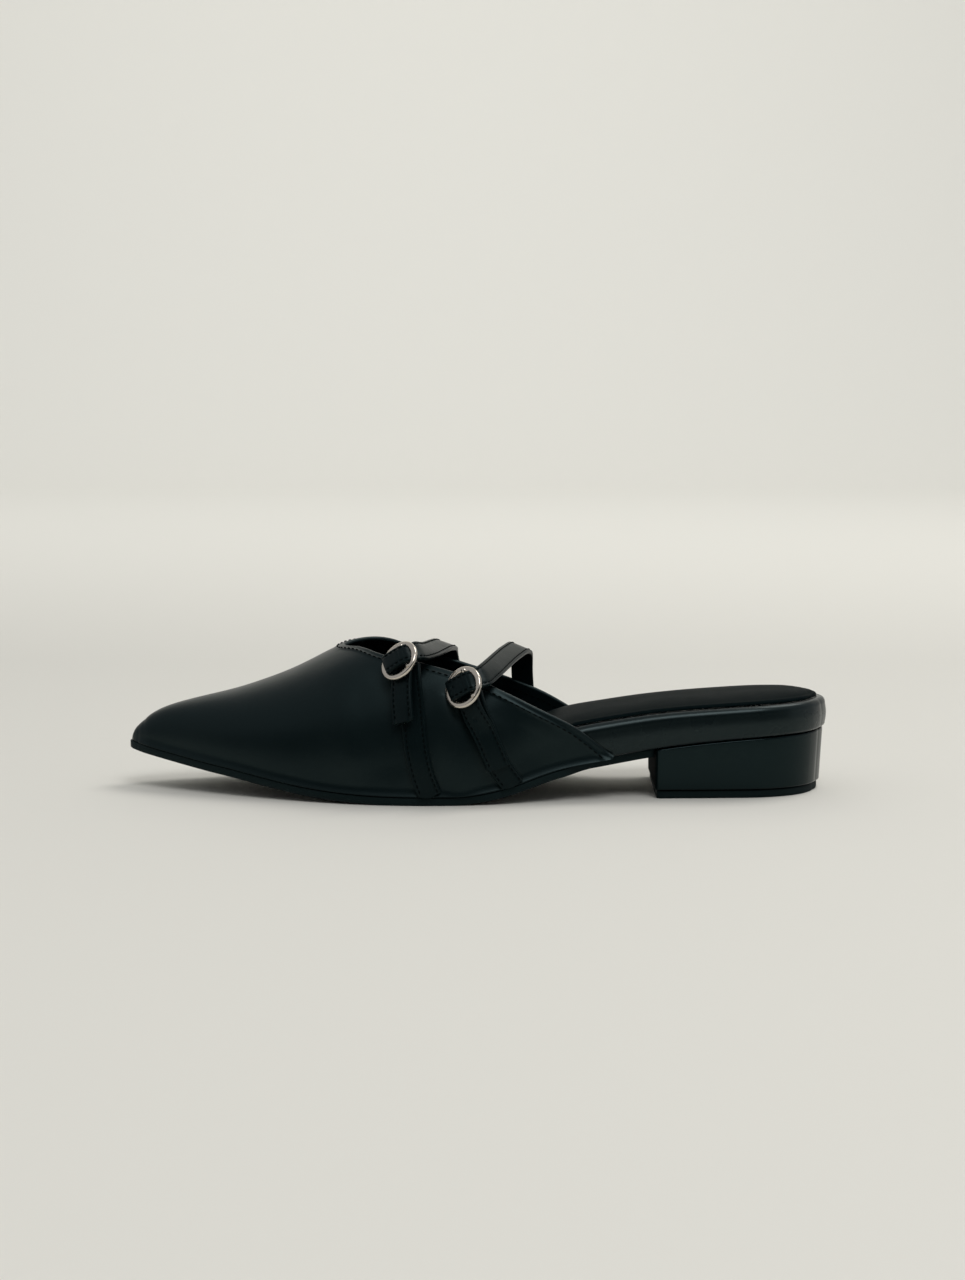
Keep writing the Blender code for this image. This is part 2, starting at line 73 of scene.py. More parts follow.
# Half widths of the outline, shares of the ball width in front and of the seat width behind
frontOutline = (
    # along, outer, inner
    (0.000, -0.045, 0.045),
    (0.004, -0.003, 0.088),
    (0.015, 0.028, 0.115),
    (0.035, 0.064, 0.150),
    (0.070, 0.127, 0.201),
    (0.130, 0.232, 0.278),
    (0.200, 0.336, 0.359),
    (0.270, 0.418, 0.425),
    (0.350, 0.484, 0.469),
    (0.420, 0.504, 0.457),
    (0.500, 0.492, 0.401),
    (0.580, 0.452, 0.344),
)
backOutline = (
    # along, outer, inner
    (0.660, 0.555, 0.434),
    (0.740, 0.524, 0.446),
    (0.820, 0.510, 0.478),
    (0.885, 0.492, 0.488),
    (0.935, 0.425, 0.435),
    (0.970, 0.310, 0.328),
    (0.990, 0.182, 0.200),
    (0.998, 0.078, 0.096),
    (1.000, -0.009, 0.009),
)
# Rise of the bed, shares of the toe spring and of the heel rise
bedLine = (
    # along, toe, heel
    (0.000, 1.000, 0.000),
    (0.030, 0.890, 0.000),
    (0.085, 0.705, 0.000),
    (0.120, 0.596, 0.000),
    (0.160, 0.480, 0.000),
    (0.215, 0.288, 0.000),
    (0.270, 0.130, 0.000),
    (0.325, 0.045, 0.000),
    (0.370, 0.008, 0.000),
    (0.405, 0.000, 0.000),
    (0.465, 0.000, 0.000),
    (0.515, 0.000, 0.077),
    (0.558, 0.000, 0.227),
    (0.598, 0.000, 0.410),
    (0.626, 0.000, 0.495),
    (0.664, 0.000, 0.575),
    (0.745, 0.000, 0.754),
    (0.810, 0.000, 0.860),
    (0.875, 0.000, 0.932),
    (0.935, 0.000, 0.975),
    (1.000, 0.000, 1.000),
)
platformLine = (
    # along, height as a share of the platform's height at the heel
    (0.000, 0.240),
    (0.270, 0.370),
    (0.420, 0.420),
    (0.500, 0.640),
    (0.560, 0.920),
    (0.600, 1.090),
    (0.640, 1.140),
    (0.750, 1.070),
    (0.830, 0.990),
    (1.000, 0.940),
)
crestLine = (
    # along, height as a share of the crest height, side as a share of the ball width
    (0.000, 0.278, 0.045),
    (0.004, 0.352, 0.044),
    (0.012, 0.420, 0.043),
    (0.022, 0.456, 0.042),
    (0.046, 0.510, 0.040),
    (0.096, 0.580, 0.036),
    (0.152, 0.645, 0.034),
    (0.205, 0.735, 0.034),
    (0.232, 0.785, 0.036),
    (0.262, 0.862, 0.040),
    (0.300, 0.960, 0.045),
    (0.345, 1.045, 0.050),
    (0.390, 1.085, 0.050),
    (0.440, 1.100, 0.050),
    (0.495, 1.105, 0.050),
    (0.545, 1.100, 0.050),
    (0.590, 1.080, 0.050),
    (0.630, 1.045, 0.050),
    (0.690, 0.985, 0.045),
)
topLine = (
    # back as a share of the opening's length, outer and inner way up the section
    (0.000, 1.000, 1.000),
    (0.013, 0.920, 0.955),
    (0.070, 0.825, 0.860),
    (0.160, 0.705, 0.760),
    (0.290, 0.637, 0.615),
    (0.420, 0.575, 0.545),
    (0.520, 0.515, 0.487),
    (0.620, 0.435, 0.420),
    (0.720, 0.330, 0.330),
    (0.810, 0.225, 0.225),
    (0.850, 0.190, 0.175),
    (0.880, 0.150, 0.140),
    (0.930, 0.088, 0.088),
    (1.000, 0.004, 0.004),
)


def smoothStep(x):
    # From 0 to 1, level at both
    return x * x * (3 - 2 * x)


def denseCurve(rows, column, soft=0.012, count=4001):
    # Monotone cubic through one column, sampled closer at its ends, then twice a running mean
    # whose width fades out towards both ends.
    x = np.array([row[0] for row in rows])
    y = np.array([row[column] for row in rows])
    step = np.diff(x)
    slope = np.diff(y) / step
    tangent = np.zeros(len(x))
    tangent[0], tangent[-1] = slope[0], slope[-1]
    same = slope[:-1] * slope[1:] > 0
    first, second = 2 * step[1:] + step[:-1], step[1:] + 2 * step[:-1]
    safe = np.where(same, slope[:-1], 1), np.where(same, slope[1:], 1)
    tangent[1:-1] = np.where(same, (first + second) / (first / safe[0] + second / safe[1]), 0)
    at = x[0] + (x[-1] - x[0]) * (0.5 - 0.5 * np.cos(np.linspace(0, math.pi, count)))
    i = np.clip(np.searchsorted(x, at, side="right") - 1, 0, len(x) - 2)
    u = (at - x[i]) / step[i]
    value = (1 + 2 * u) * (1 - u) ** 2 * y[i] + u * (1 - u) ** 2 * step[i] * tangent[i]
    value += u * u * (3 - 2 * u) * y[i + 1] + u * u * (u - 1) * step[i] * tangent[i + 1]
    reach = np.clip(np.minimum(at - x[0], x[-1] - at), 0, soft)
    shifts = np.linspace(-1, 1, 9)
    for turn in range(2):
        value = np.mean([np.interp(at + k * reach, at, value) for k in shifts], axis=0)
    return at, value


outline = tuple(
    (s, a * last["ballWidth"], b * last["ballWidth"]) for s, a, b in frontOutline
) + tuple((s, a * last["seatWidth"], b * last["seatWidth"]) for s, a, b in backOutline)
rootedTop = tuple((math.sqrt(s), a, b) for s, a, b in topLine)
curves = {
    "outer": denseCurve(outline, 1),
    "inner": denseCurve(outline, 2),
    "toe": denseCurve(bedLine, 1),
    "heel": denseCurve(bedLine, 2),
    "platform": denseCurve(platformLine, 1, 0.03),
    "crestHigh": denseCurve(crestLine, 1, 0.02),
    "crestSide": denseCurve(crestLine, 2, 0.02),
    "topOuter": denseCurve(rootedTop, 1, 0.03),
    "topInner": denseCurve(rootedTop, 2, 0.03),
}
toeX = (last["welt"] + last["wall"] + last["clearance"] - last["length"]) / 2
# How far the whole shoe lies to the side, read from the sole's outer edge
outerEdge = max(a for s, a, b in outline) + last["welt"]
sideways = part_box("outsole")[0][1] + outerEdge
small = 3e-4  # step along the last from which a direction is worked out


def read(name, at):
    # Value of a curve at places along it
    return np.interp(at, *curves[name])


def unit(vectors):
    # The same directions with a length of 1
    return vectors / np.maximum(np.linalg.norm(vectors, axis=-1, keepdims=True), 1e-12)


def edge(along, side, inset):
    # Plan point of the outline moved inwards at right angles. side is -1 outer, 1 inner.
    name = "outer" if side < 0 else "inner"

    def at(s):
        return np.stack([toeX + last["length"] * s, sideways + side * read(name, s)], axis=-1)

    run = unit(at(np.clip(along + small, 0, 1)) - at(np.clip(along - small, 0, 1)))
    run[along <= 0] = (0, side)
    run[along >= 1] = (0, -side)
    inwards = np.stack([run[..., 1] * side, -run[..., 0] * side], axis=-1)
    return at(along) + inwards * np.asarray(inset)[..., None]


def bed(x):
    # Height of the line the shoe is built on: the ball's height, and the toe's and the heel's rise
    along = (x - toeX) / last["length"]
    rise = read("toe", along) * last["toeSpring"] + read("heel", along) * last["heelRise"]
    return last["ballBed"] + rise


def platformShare(x):
    # Height of the platform under the foot, as a share of its height at the heel
    return read("platform", (x - toeX) / last["length"])


def platformHigh(x):
    return platformShare(x) * last["platform"]


def crest(along, inset):
    # Point of the crest line moved inwards, at right angles to it, in the shoe's middle plane
    def at(s):
        high = last["ballBed"] + read("crestHigh", s) * last["crestHeight"]
        side = sideways + read("crestSide", s) * last["ballWidth"]
        return np.stack([toeX + last["length"] * s, side, high], axis=-1)

    run = unit(at(along + small) - at(np.maximum(along - small, 0)))
    run[along <= 0] = (0, 0, 1)
    inwards = np.stack([run[..., 2], 0 * along, -run[..., 0]], axis=-1)
    return at(along) + inwards * np.asarray(inset)[..., None]


def form(along, turn, inset):
    # Point of the foot's form: an upright side, then a superellipse up to the crest.
    # turn goes from 0 at the outer edge over 1, the crest, to 2 at the inner edge.
    along, turn, inset = np.broadcast_arrays(along, turn, inset)
    outer = turn <= 1
    up = np.where(outer, turn, 2 - turn)
    foot = np.where(outer[..., None], edge(along, -1, inset), edge(along, 1, inset))
    top = crest(along, inset)
    low = bed(foot[..., 0])
    tall = last["sidePlatform"] * platformHigh(foot[..., 0])
    short = last["sideCrest"] * np.maximum(top[..., 2] - low, 1e-6)
    blend = last["sideBlend"]
    side = (tall**-blend + short**-blend) ** (-1 / blend)
    angle = np.clip((up - last["sideShare"]) / (1 - last["sideShare"]), 0, 1) * math.pi / 2
    power = 2 / last["fullness"]
    out, high = np.cos(angle).clip(0) ** power, np.sin(angle) ** power
    height = low + side * np.clip(up / last["sideShare"], 0, 1) + (top[..., 2] - low - side) * high
    x = top[..., 0] + (foot[..., 0] - top[..., 0]) * out
    y = top[..., 1] + (foot[..., 1] - top[..., 1]) * out
    return np.stack([x, y, height], axis=-1)


def gridFaces(rows, columns, start):
    # Quads of a rows x columns grid whose first vertex has the number start
    corner = start + np.arange(rows - 1)[:, None] * columns + np.arange(columns - 1)[None, :]
    quads = np.stack([corner, corner + 1, corner + columns + 1, corner + columns], axis=-1)
    return quads.reshape(-1, 4)


weldWithin = 2e-6
sliversUnder = 1e-7


def addPiece(name, points, faces, finish, welded=False):
    # A mesh from points and faces, with its faces turned outwards and shaded smooth
    mesh = bpy.data.meshes.new(name)
    mesh.from_pydata(points.tolist(), [], faces)
    body = bmesh.new()
    body.from_mesh(mesh)
    if welded:
        bmesh.ops.remove_doubles(body, verts=body.verts, dist=weldWithin)
        bmesh.ops.dissolve_degenerate(body, edges=body.edges, dist=sliversUnder)
    bmesh.ops.recalc_face_normals(body, faces=body.faces)
    body.to_mesh(mesh)
    body.free()
    mesh.shade_smooth()
    mesh.materials.append(finish)
    piece = bpy.data.objects.new(name, mesh)
    bpy.context.scene.collection.objects.link(piece)
    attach(piece, "root")
    return piece


def makePiece(name, sheets, finish, node=None, sharp=None):
    # One closed body from grids of points, whose shared edges are welded
    points = np.concatenate([sheet.reshape(-1, 3) for sheet in sheets])
    starts = np.cumsum([0] + [sheet.shape[0] * sheet.shape[1] for sheet in sheets])
    quads = [gridFaces(*sheet.shape[:2], start) for sheet, start in zip(sheets, starts)]
    piece = addPiece(name, points, np.concatenate(quads).tolist(), finish, welded=True)
    if sharp:
        piece.data.set_sharp_from_angle(angle=math.radians(sharp))
    if node:
        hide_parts(node)
    return piece


def newFinish(name, colour):
    # A material and its shader, with the colour set
    finish = bpy.data.materials.new(name)
    finish.use_nodes = True
    shader = finish.node_tree.nodes["Principled BSDF"]
    shader.inputs["Base Color"].default_value = (*colour, 1)
    return finish, shader


def addNoise(finish, shader, look):
    # Noise in the piece's own space that lets the roughness wander a little
    nodes, links = finish.node_tree.nodes, finish.node_tree.links
    place = nodes.new("ShaderNodeTexCoord")
    noise = nodes.new("ShaderNodeTexNoise")
    noise.inputs["Scale"].default_value = 1 / look["uneven"]
    noise.inputs["Detail"].default_value = look["detail"]
    links.new(place.outputs["Object"], noise.inputs["Vector"])
    rough = nodes.new("ShaderNodeMapRange")
    rough.inputs["To Min"].default_value = look["roughness"] - look["wander"]
    rough.inputs["To Max"].default_value = look["roughness"] + look["wander"]
    links.new(noise.outputs["Fac"], rough.inputs["Value"])
    links.new(rough.outputs["Result"], shader.inputs["Roughness"])
    return place, noise


def addBump(finish, height, depth):
    # Relief from a texture, as deep as given
    bump = finish.node_tree.nodes.new("ShaderNodeBump")
    bump.inputs["Distance"].default_value = depth
    bump.inputs["Strength"].default_value = 1.0
    finish.node_tree.links.new(height, bump.inputs["Height"])
    return bump


def makeLeather(name, look):
    # Smooth finished hide: fine pebble and soft unevenness as bump, roughness that wanders slightly
    finish, shader = newFinish(name, look["colour"])
    shader.inputs["IOR"].default_value = look["ior"]
    shader.inputs["Specular Tint"].default_value = (*look["tint"], 1)
    shader.inputs["Coat Weight"].default_value = look["coat"]
    shader.inputs["Coat Roughness"].default_value = look["coatRoughness"]
    place, uneven = addNoise(finish, shader, look)
    nodes, links = finish.node_tree.nodes, finish.node_tree.links
    pebble = nodes.new("ShaderNodeTexVoronoi")
    pebble.feature = "SMOOTH_F1"
    pebble.inputs["Scale"].default_value = 1 / look["pebble"]
    links.new(place.outputs["Object"], pebble.inputs["Vector"])
    grain = addBump(finish, pebble.outputs["Distance"], look["grainDepth"])
    swell = addBump(finish, uneven.outputs["Fac"], look["swellDepth"])
    links.new(grain.outputs["Normal"], swell.inputs["Normal"])
    links.new(swell.outputs["Normal"], shader.inputs["Normal"])
    return finish


def makeMetal(name, look):
    # Polished metal whose roughness wanders slightly
    finish, shader = newFinish(name, look["colour"])
    shader.inputs["Metallic"].default_value = 1.0
    addNoise(finish, shader, look)
    return finish


hide = {
    "colour": (0.0020, 0.0052, 0.0060),
    "ior": 1.29,  # a wax finish over black reflects less than bare plastic
    "tint": (0.64, 0.97, 1.0),
    "roughness": 0.36,
    "wander": 0.05,
    "coat": 0.05,
    "coatRoughness": 0.28,
    "pebble": 0.0007,
    "grainDepth": 0.00002,
    "uneven": 0.012,
    "detail": 5,
    "swellDepth": 0.00012,
}
dull = dict(hide, coat=0.0)
boardLook = dict(dull, roughness=0.62, uneven=0.002, swellDepth=0.00008)
rubberLook = dict(dull, roughness=0.7, pebble=0.0005, grainDepth=0.00005)
glossLook = dict(
    dull, roughness=0.15, wander=0.02, ior=1.28, grainDepth=0.000003,
    uneven=0.02, swellDepth=0.00005,
)
threadLook = dict(dull, roughness=0.7, ior=1.12, colour=(0.002, 0.003, 0.003))
ringFinish = {
    "colour": (0.62, 0.57, 0.50),
    "roughness": 0.2,
    "wander": 0.06,
    "uneven": 0.0016,
    "detail": 4,
}
upperHide = makeLeather("upper hide", hide)
strapHide = makeLeather("strap hide", dict(hide, ior=1.2, uneven=0.006, swellDepth=0.0001))
wrapHide = makeLeather("footbed wrap", dict(hide, roughness=0.28, coat=0.2))
sockHide = makeLeather("sock hide", dict(dull, roughness=0.5, ior=1.06))
soleBoard = makeLeather("sole board", boardLook)
liftRubber = makeLeather("lift rubber", rubberLook)
heelGloss = makeLeather("heel gloss", glossLook)
heelBreast = makeLeather("heel breast", dict(dull, roughness=0.8, ior=1.05))
thread = makeLeather("stitch thread", threadLook)
ringMetal = makeMetal("ring metal", ringFinish)
print("stage 2: materials")

upperLook = {
    "toeRows": 120,
    "backRows": 150,
    "columns": 84,
    "toeSpacing": 1.7,  # 1 is even, more is closer at the start
    "backSpacing": 1.5,
    "upSpacing": 1.4,  # closer at the top
    "toplinePoints": 400,
    "rimSteps": 9,
    "toeCap": 0.0028,  # thickness at the point
    "tuck": 0.0010,  # how far the lower edge rolls in to the sole
    "tuckHigh": 0.0035,
    "tuckFrom": 0.03,
    "creaseFade": 0.12,
    "stitchIn": 0.0021,
    "seamEnds": 6,  # points of the topline without a stitch at either end
    "troughStep": 0.0004,
    "troughDepth": 0.00032,
    "troughWidth": 0.0006,
}


def bell(away, width, height):
    # Bell curve across a distance
    return height * np.exp(-((away / width) ** 2))


def softLines(points, lines):
    # Sum of soft troughs and ridges: each is a bell across the distance to a straight line
    lift = np.zeros(points.shape[:-1])
    for start, end, width, height in lines:
        a, b = form(*np.array(start), 0.0), form(*np.array(end), 0.0)
        share = ((points - a) @ (b - a) / ((b - a) @ (b - a))).clip(0, 1)
        away = np.linalg.norm(points - (a + share[..., None] * (b - a)), axis=-1)
        lift += bell(away, width, height)
    return lift


# Creases: start and end as (along, turn), width and height of the bell in metres, troughs negative
upperCreases = (
    ((0.452, 0.46), (0.474, 0.13), 0.0058, -0.0013),
    ((0.368, 0.60), (0.384, 0.22), 0.0070, 0.0007),
    ((0.545, 0.34), (0.565, 0.16), 0.0075, 0.0007),
    ((0.300, 0.66), (0.322, 0.24), 0.0080, -0.0005),
    ((0.335, 0.50), (0.352, 0.20), 0.0060, 0.0004),
    ((0.340, 1.38), (0.380, 1.75), 0.0070, -0.0008),
    ((0.450, 1.58), (0.480, 1.85), 0.0065, -0.0007),
    ((0.410, 1.48), (0.430, 1.80), 0.0070, 0.0005),
)


def behindThroat(along):
    # 0 up to the throat, 1 at the ends of the wings
    return np.clip((along - last["throat"]) / (last["wingEnd"] - last["throat"]), 0, 1)


def topReach(side, along):
    # How far up its section the leather goes
    return read("topOuter" if side < 0 else "topInner", np.sqrt(behindThroat(along)))


def toplinePoint(side, along, inset):
    # Where the leather ends at the top
    reach = topReach(side, along)
    return form(along, reach if side < 0 else 2 - reach, inset)


def backAlong(count):
    # Places from the throat to the ends of the wings, closer together at the throat
    span = last["wingEnd"] - last["throat"]
    return last["throat"] + span * np.linspace(0, 1, count) ** upperLook["backSpacing"]


def wholeTopline(inset):
    # The topline from the outer wing's end over the throat to the inner wing's end
    along = backAlong(upperLook["toplinePoints"])
    outer = toplinePoint(-1, along[::-1], inset)
    inner = toplinePoint(1, along[1:], inset)
    return np.concatenate([outer, inner])


def lengthAlong(points):
    # Length of a line up to each of its points
    return np.concatenate([[0], np.cumsum(np.linalg.norm(np.diff(points, axis=0), axis=1))])


def sample(rows, places, at):
    # Each column of the rows, read between the places at which they stand
    return np.stack([np.interp(at, places, column) for column in rows.T], axis=1)


def evenly(rows, step):
    # The same line, with a row at each step of its length. The first three columns are its points.
    length = lengthAlong(rows[:, :3])
    return sample(rows, length, np.linspace(0, length[-1], max(2, int(length[-1] / step) + 1)))


def soften(rows, reach, turns=3):
    # Running mean down the rows, whose two ends stay where they are
    kernel = np.ones(2 * reach + 1) / (2 * reach + 1)
    for turn in range(turns):
        head = 2 * rows[0] - rows[reach:0:-1]
        foot = 2 * rows[-1] - rows[-2 : -reach - 2 : -1]
        padded = np.concatenate([head, rows, foot])
        rows = np.stack([np.convolve(column, kernel, "valid") for column in padded.T], axis=1)
    return rows


def nearest(points, line, block=4000):
    # Distance from each point to the nearest vertex of a line, in blocks
    flat = points.reshape(-1, 3)
    found = np.empty(len(flat))
    for i in range(0, len(flat), block):
        part = flat[i : i + block]
        found[i : i + block] = np.sqrt(((part[:, None] - line[None]) ** 2).sum(axis=-1).min(axis=1))
    return found.reshape(points.shape[:-1])


def gridNormals(grid):
    # At right angles to the rows and to the columns of a grid
    return unit(np.cross(np.gradient(grid, axis=0), np.gradient(grid, axis=1)))


def insetLine(line, inside, distance):
    # A line on the leather at a distance from the topline. inside is one wall thickness in from it.
    run = unit(np.gradient(line, axis=0))
    across = unit(np.cross(run, line - inside))
    down = across * np.where((across[:, 2:] > 0), -1, 1)
    return line + down * distance, unit(line - inside)


def upperHalf(side, along, stitchLine):
    # Skin and lining of one side. The skin has its creases, a trough for the stitches and a lower
    # edge that rolls in.
    look = upperLook
    share = 1 - (1 - np.linspace(0, 1, look["columns"])) ** look["upSpacing"]
    reach = topReach(side, along)
    up = reach[:, None] * share[None, :]
    turn = up if side < 0 else 2 - up
    skin = form(along[:, None], turn, 0.0)
    skin[0] = skin[0, 0]
    facing = gridNormals(skin) * side
    high = skin[..., 2] - bed(skin[..., 0])
    tuck = look["tuck"] * (1 - np.clip(high / look["tuckHigh"], 0, 1)) ** 2
    tuck *= np.clip(along / look["tuckFrom"], 0, 1)[:, None]
    trough = bell(nearest(skin, stitchLine), look["troughWidth"], look["troughDepth"])
    fade = (reach[:, None] - up) / look["creaseFade"]
    fade = np.clip(fade, 0, 1) + (behindThroat(along) <= 0)[:, None]
    crease = softLines(skin, upperCreases) * np.clip(fade, 0, 1)
    skin = skin + facing * (crease - trough - tuck)[..., None]
    lined = along + look["toeCap"] / last["length"] * np.clip(1 - along / last["throat"], 0, 1)
    lining = form(lined[:, None], turn, last["wall"])
    lining[:, 0, 2] = skin[:, 0, 2]
    return skin, lining


def rolledRim(outside, inside):
    # A half circle across the wall, all along the topline
    middle, half = (outside + inside) / 2, (outside - inside) / 2
    bulge = unit(np.cross(unit(np.gradient(middle, axis=0)), half))
    bulge *= np.where(bulge[:, 2:] < 0, -1, 1)
    theta = np.linspace(0, math.pi, upperLook["rimSteps"])[None, :, None]
    size = np.linalg.norm(half, axis=1)[:, None, None]
    return middle[:, None] + half[:, None] * np.cos(theta) + bulge[:, None] * size * np.sin(theta)


def makeUpper(stitchLine):
    # Skin and lining of both sides, joined by a rolled rim, and closed below, behind and at the toe
    look = upperLook
    toe = last["throat"] * np.linspace(0, 1, look["toeRows"]) ** look["toeSpacing"]
    along = np.concatenate([toe, backAlong(look["backRows"])[1:]])
    near, far = (upperHalf(side, along, stitchLine) for side in (-1, 1))
    sheets = []
    for skin, lining in (near, far):
        sheets += [skin, lining, np.stack([skin[:, 0], lining[:, 0]])]
        sheets.append(np.stack([skin[-1], lining[-1]]))
    first = look["toeRows"] - 1
    rim = [np.concatenate([a[first:, -1][::-1], b[first + 1 :, -1]]) for a, b in zip(near, far)]
    sheets.append(rolledRim(*rim))
    # The point of the toe, where both sides meet
    sheets.append(np.stack([near[1][0], far[1][0]]))
    sheets.append(np.array([[near[0][0, 0], near[0][0, 0]], [near[1][0, 0], far[1][0, 0]]]))
    return makePiece("upper_shell", sheets, upperHide, "upper")


def laidOn(piece, line, facing, away=0.003):
    # The same line moved along its facing on to the surface of a piece, met from outside
    mesh = piece.data
    tree = BVHTree.FromPolygons([v.co for v in mesh.vertices], [p.vertices for p in mesh.polygons])
    laid = line.copy()
    for k, (point, way) in enumerate(zip(line, facing)):
        hit = tree.ray_cast(Vector(point + way * away), Vector(-way), 2 * away)[0]
        if hit is not None:
            laid[k] = hit
    return laid


upperStitch = {"pitch": 0.0024, "long": 0.0017, "thick": 0.00023}
liningStitch = dict(upperStitch, thick=0.00021)
strapStitch = {"pitch": 0.0021, "long": 0.0015, "thick": 0.00017}


def stitchForm(look):
    # A short tube along x, thickest in its middle, that dips at both ends
    u = np.linspace(-1, 1, 7)[:, None]
    angle = np.linspace(0, 2 * math.pi, 9)[None, :-1]
    radius = look["thick"] * np.sqrt(np.clip(1 - u**4, 0.02, 1))
    lift = look["thick"] * (0.75 - 1.5 * u**4)
    x = u * look["long"] / 2 + 0 * angle
    return np.stack([x, radius * np.cos(angle), radius * np.sin(angle) + lift], axis=-1)


def tubeFaces(rows, columns, count):
    # Walls and ends of a number of tubes, whose points follow one another
    k = np.arange(columns)
    ring = np.stack([k, (k + 1) % columns, (k + 1) % columns + columns, k + columns], axis=-1)
    walls = (ring[None] + (np.arange(rows - 1) * columns)[:, None, None]).reshape(-1, 4)
    each = rows * columns
    faces = (walls[None] + (np.arange(count) * each)[:, None, None]).reshape(-1, 4).tolist()
    for start in range(0, count * each, each):
        faces.append(list(range(start, start + columns))[::-1])
        faces.append(list(range(start + each - columns, start + each)))
    return faces


def makeStitches(name, line, facing, look):
    # A row of sewn stitches: the same short tube, turned to the line at each pitch
    length, half = lengthAlong(line), look["long"] / 2
    at = np.arange(look["pitch"] / 2, length[-1] - half, look["pitch"])
    run = unit(sample(line, length, at + half) - sample(line, length, at - half))
    outwards = unit(sample(facing, length, at))
    axes = np.stack([run, np.cross(run, outwards), outwards], axis=1)
    tube = stitchForm(look)
    points = sample(line, length, at)[:, None, None] + np.einsum("rck,nkj->nrcj", tube, axes)
    faces = tubeFaces(*tube.shape[:2], len(at))
    return addPiece(name, points.reshape(-1, 3), faces, thread)


toplineSeam, toplineFacing = insetLine(
    wholeTopline(0.0), wholeTopline(last["wall"]), upperLook["stitchIn"]
)
upper = makeUpper(evenly(toplineSeam, upperLook["troughStep"]))
stitched = slice(upperLook["seamEnds"], -upperLook["seamEnds"])
toplineSeam, toplineFacing = toplineSeam[stitched], toplineFacing[stitched]
outerSeam = laidOn(upper, toplineSeam, toplineFacing)
liningSeam = laidOn(upper, toplineSeam - toplineFacing * last["wall"], -toplineFacing)
makeStitches("upper_topline_stitches", outerSeam, toplineFacing, upperStitch)
makeStitches("upper_lining_stitches", liningSeam, -toplineFacing, liningStitch)
print("stage 3: upper")


def band(along, profile, columns=5):
    # A layer of the sole. profile is a list of (inset, height), the second as a function of x:
    # each gives a line round the layer, and the first and last are closed across.
    lines = {-1: [], 1: []}
    for inset, height in profile:
        for side in (-1, 1):
            plan = edge(along, side, inset + 0 * along)
            lines[side].append(np.column_stack([plan, height(plan[:, 0]) + 0 * along]))
    share = np.linspace(0, 1, columns)[:, None]
    sheets = []
    for k in (0, -1):
        sheets.append(lines[-1][k][:, None] * (1 - share) + lines[1][k][:, None] * share)
    sheets += [np.stack(lines[side]) for side in (-1, 1)]
    for end in (0, -1):
        bars = [a[end] * (1 - share) + b[end] * share for a, b in zip(lines[-1], lines[1])]
        sheets.append(np.stack(bars))
    return sheets


def quarter(steps):
    # Sine and cosine at each step of a quarter turn
    return [(math.sin(a), math.cos(a)) for a in np.linspace(0, math.pi / 2, steps)]


def roundFoot(inset, height, radius, steps):
    # Profile of a rounded lower edge, from the underside out to the wall
    return [
        (inset + radius * (1 - sin), lambda x, cos=cos: height(x) + radius * (1 - cos))
        for sin, cos in quarter(steps)
    ]


def roundHead(inset, height, radius, steps):
    # Profile of a rounded upper edge, from the wall in to the top
    return [
        (inset + radius * (1 - cos), lambda x, sin=sin: height(x) - radius * (1 - sin))
        for sin, cos in quarter(steps)
    ]


def fineEnd(start, end, count):
    # Places from start to end, closer together towards the end
    return start + (end - start) * (1 - (1 - np.linspace(0, 1, count)) ** 2)


soleLook = {
    "rows": 220,
    "spacing": 1.8,
    "thick": 0.0030,
    "round": 0.0006,
    "waistFrom": 0.61,  # where the sole's edge draws in, over a share of the length
    "waistOver": 0.05,
    "waistInset": 0.0040,
    "end": 0.7433,
}


def makeSole():
    # Thin board that draws in under the waist, where the platform stands over it
    look = soleLook
    along = look["end"] * np.linspace(0, 1, look["rows"]) ** look["spacing"]
    waist = smoothStep(np.clip((along - look["waistFrom"]) / look["waistOver"], 0, 1))
    inset = (last["wall"] + look["waistInset"] + last["welt"]) * waist - last["welt"]
    top = -last["clearance"]
    low = top - look["thick"]
    profile = roundFoot(inset, lambda x: bed(x) + low, look["round"], 5)
    profile += roundHead(inset, lambda x: bed(x) + top, look["round"] / 2, 5)
    return makePiece("sole_board", band(along, profile), soleBoard, "outsole")


footbedLook = {
    "start": 0.035,
    "rows": 260,
    "roll": 0.0030,
    "rollIn": 0.85,  # how far the roll goes in, as a share of how far it goes down
    "lower": 0.0016,
    "bulge": 0.0004,
    "brim": 0.0032,
    "groove": 0.0007,
    "grooveWidth": 0.0006,
}


def makeFootbed():
    # Going up: a rounded lower edge, a wall that bulges a little, a roll, a groove round the sock
    look = footbedLook
    along = fineEnd(look["start"], 1, look["rows"])
    base = last["wall"] + last["clearance"]
    tall = platformShare(edge(along, -1, 0 * along)[:, 0])

    def wallHigh(x, share):
        low = look["lower"] * platformShare(x)
        high = platformHigh(x) - look["roll"] * platformShare(x)
        return bed(x) + low + (high - low) * share

    def under(x, depth):
        return bed(x) + platformHigh(x) - depth

    profile = []
    for sin, cos in quarter(6):
        rise = look["lower"] * (1 - cos)
        inset = base + look["lower"] * tall * (1 - sin)
        profile.append((inset, lambda x, rise=rise: bed(x) + rise * platformShare(x)))
    for share in np.linspace(0.1, 0.9, 5):
        inset = base - look["bulge"] * math.sin(math.pi * share)
        profile.append((inset, lambda x, share=share: wallHigh(x, share)))
    for sin, cos in quarter(9):
        drop = look["roll"] * (1 - sin)
        inset = base + look["roll"] * look["rollIn"] * tall * (1 - cos)
        profile.append((inset, lambda x, drop=drop: under(x, drop * platformShare(x))))
    for share in np.linspace(0, 1, 7)[1:]:
        dip = look["groove"] * math.sin(math.pi * share / 2) ** 2
        inset = base + look["brim"] + look["grooveWidth"] * share
        profile.append((inset, lambda x, dip=dip: under(x, dip)))
    return makePiece("footbed_wrap", band(along, profile), wrapHide, "footbed")


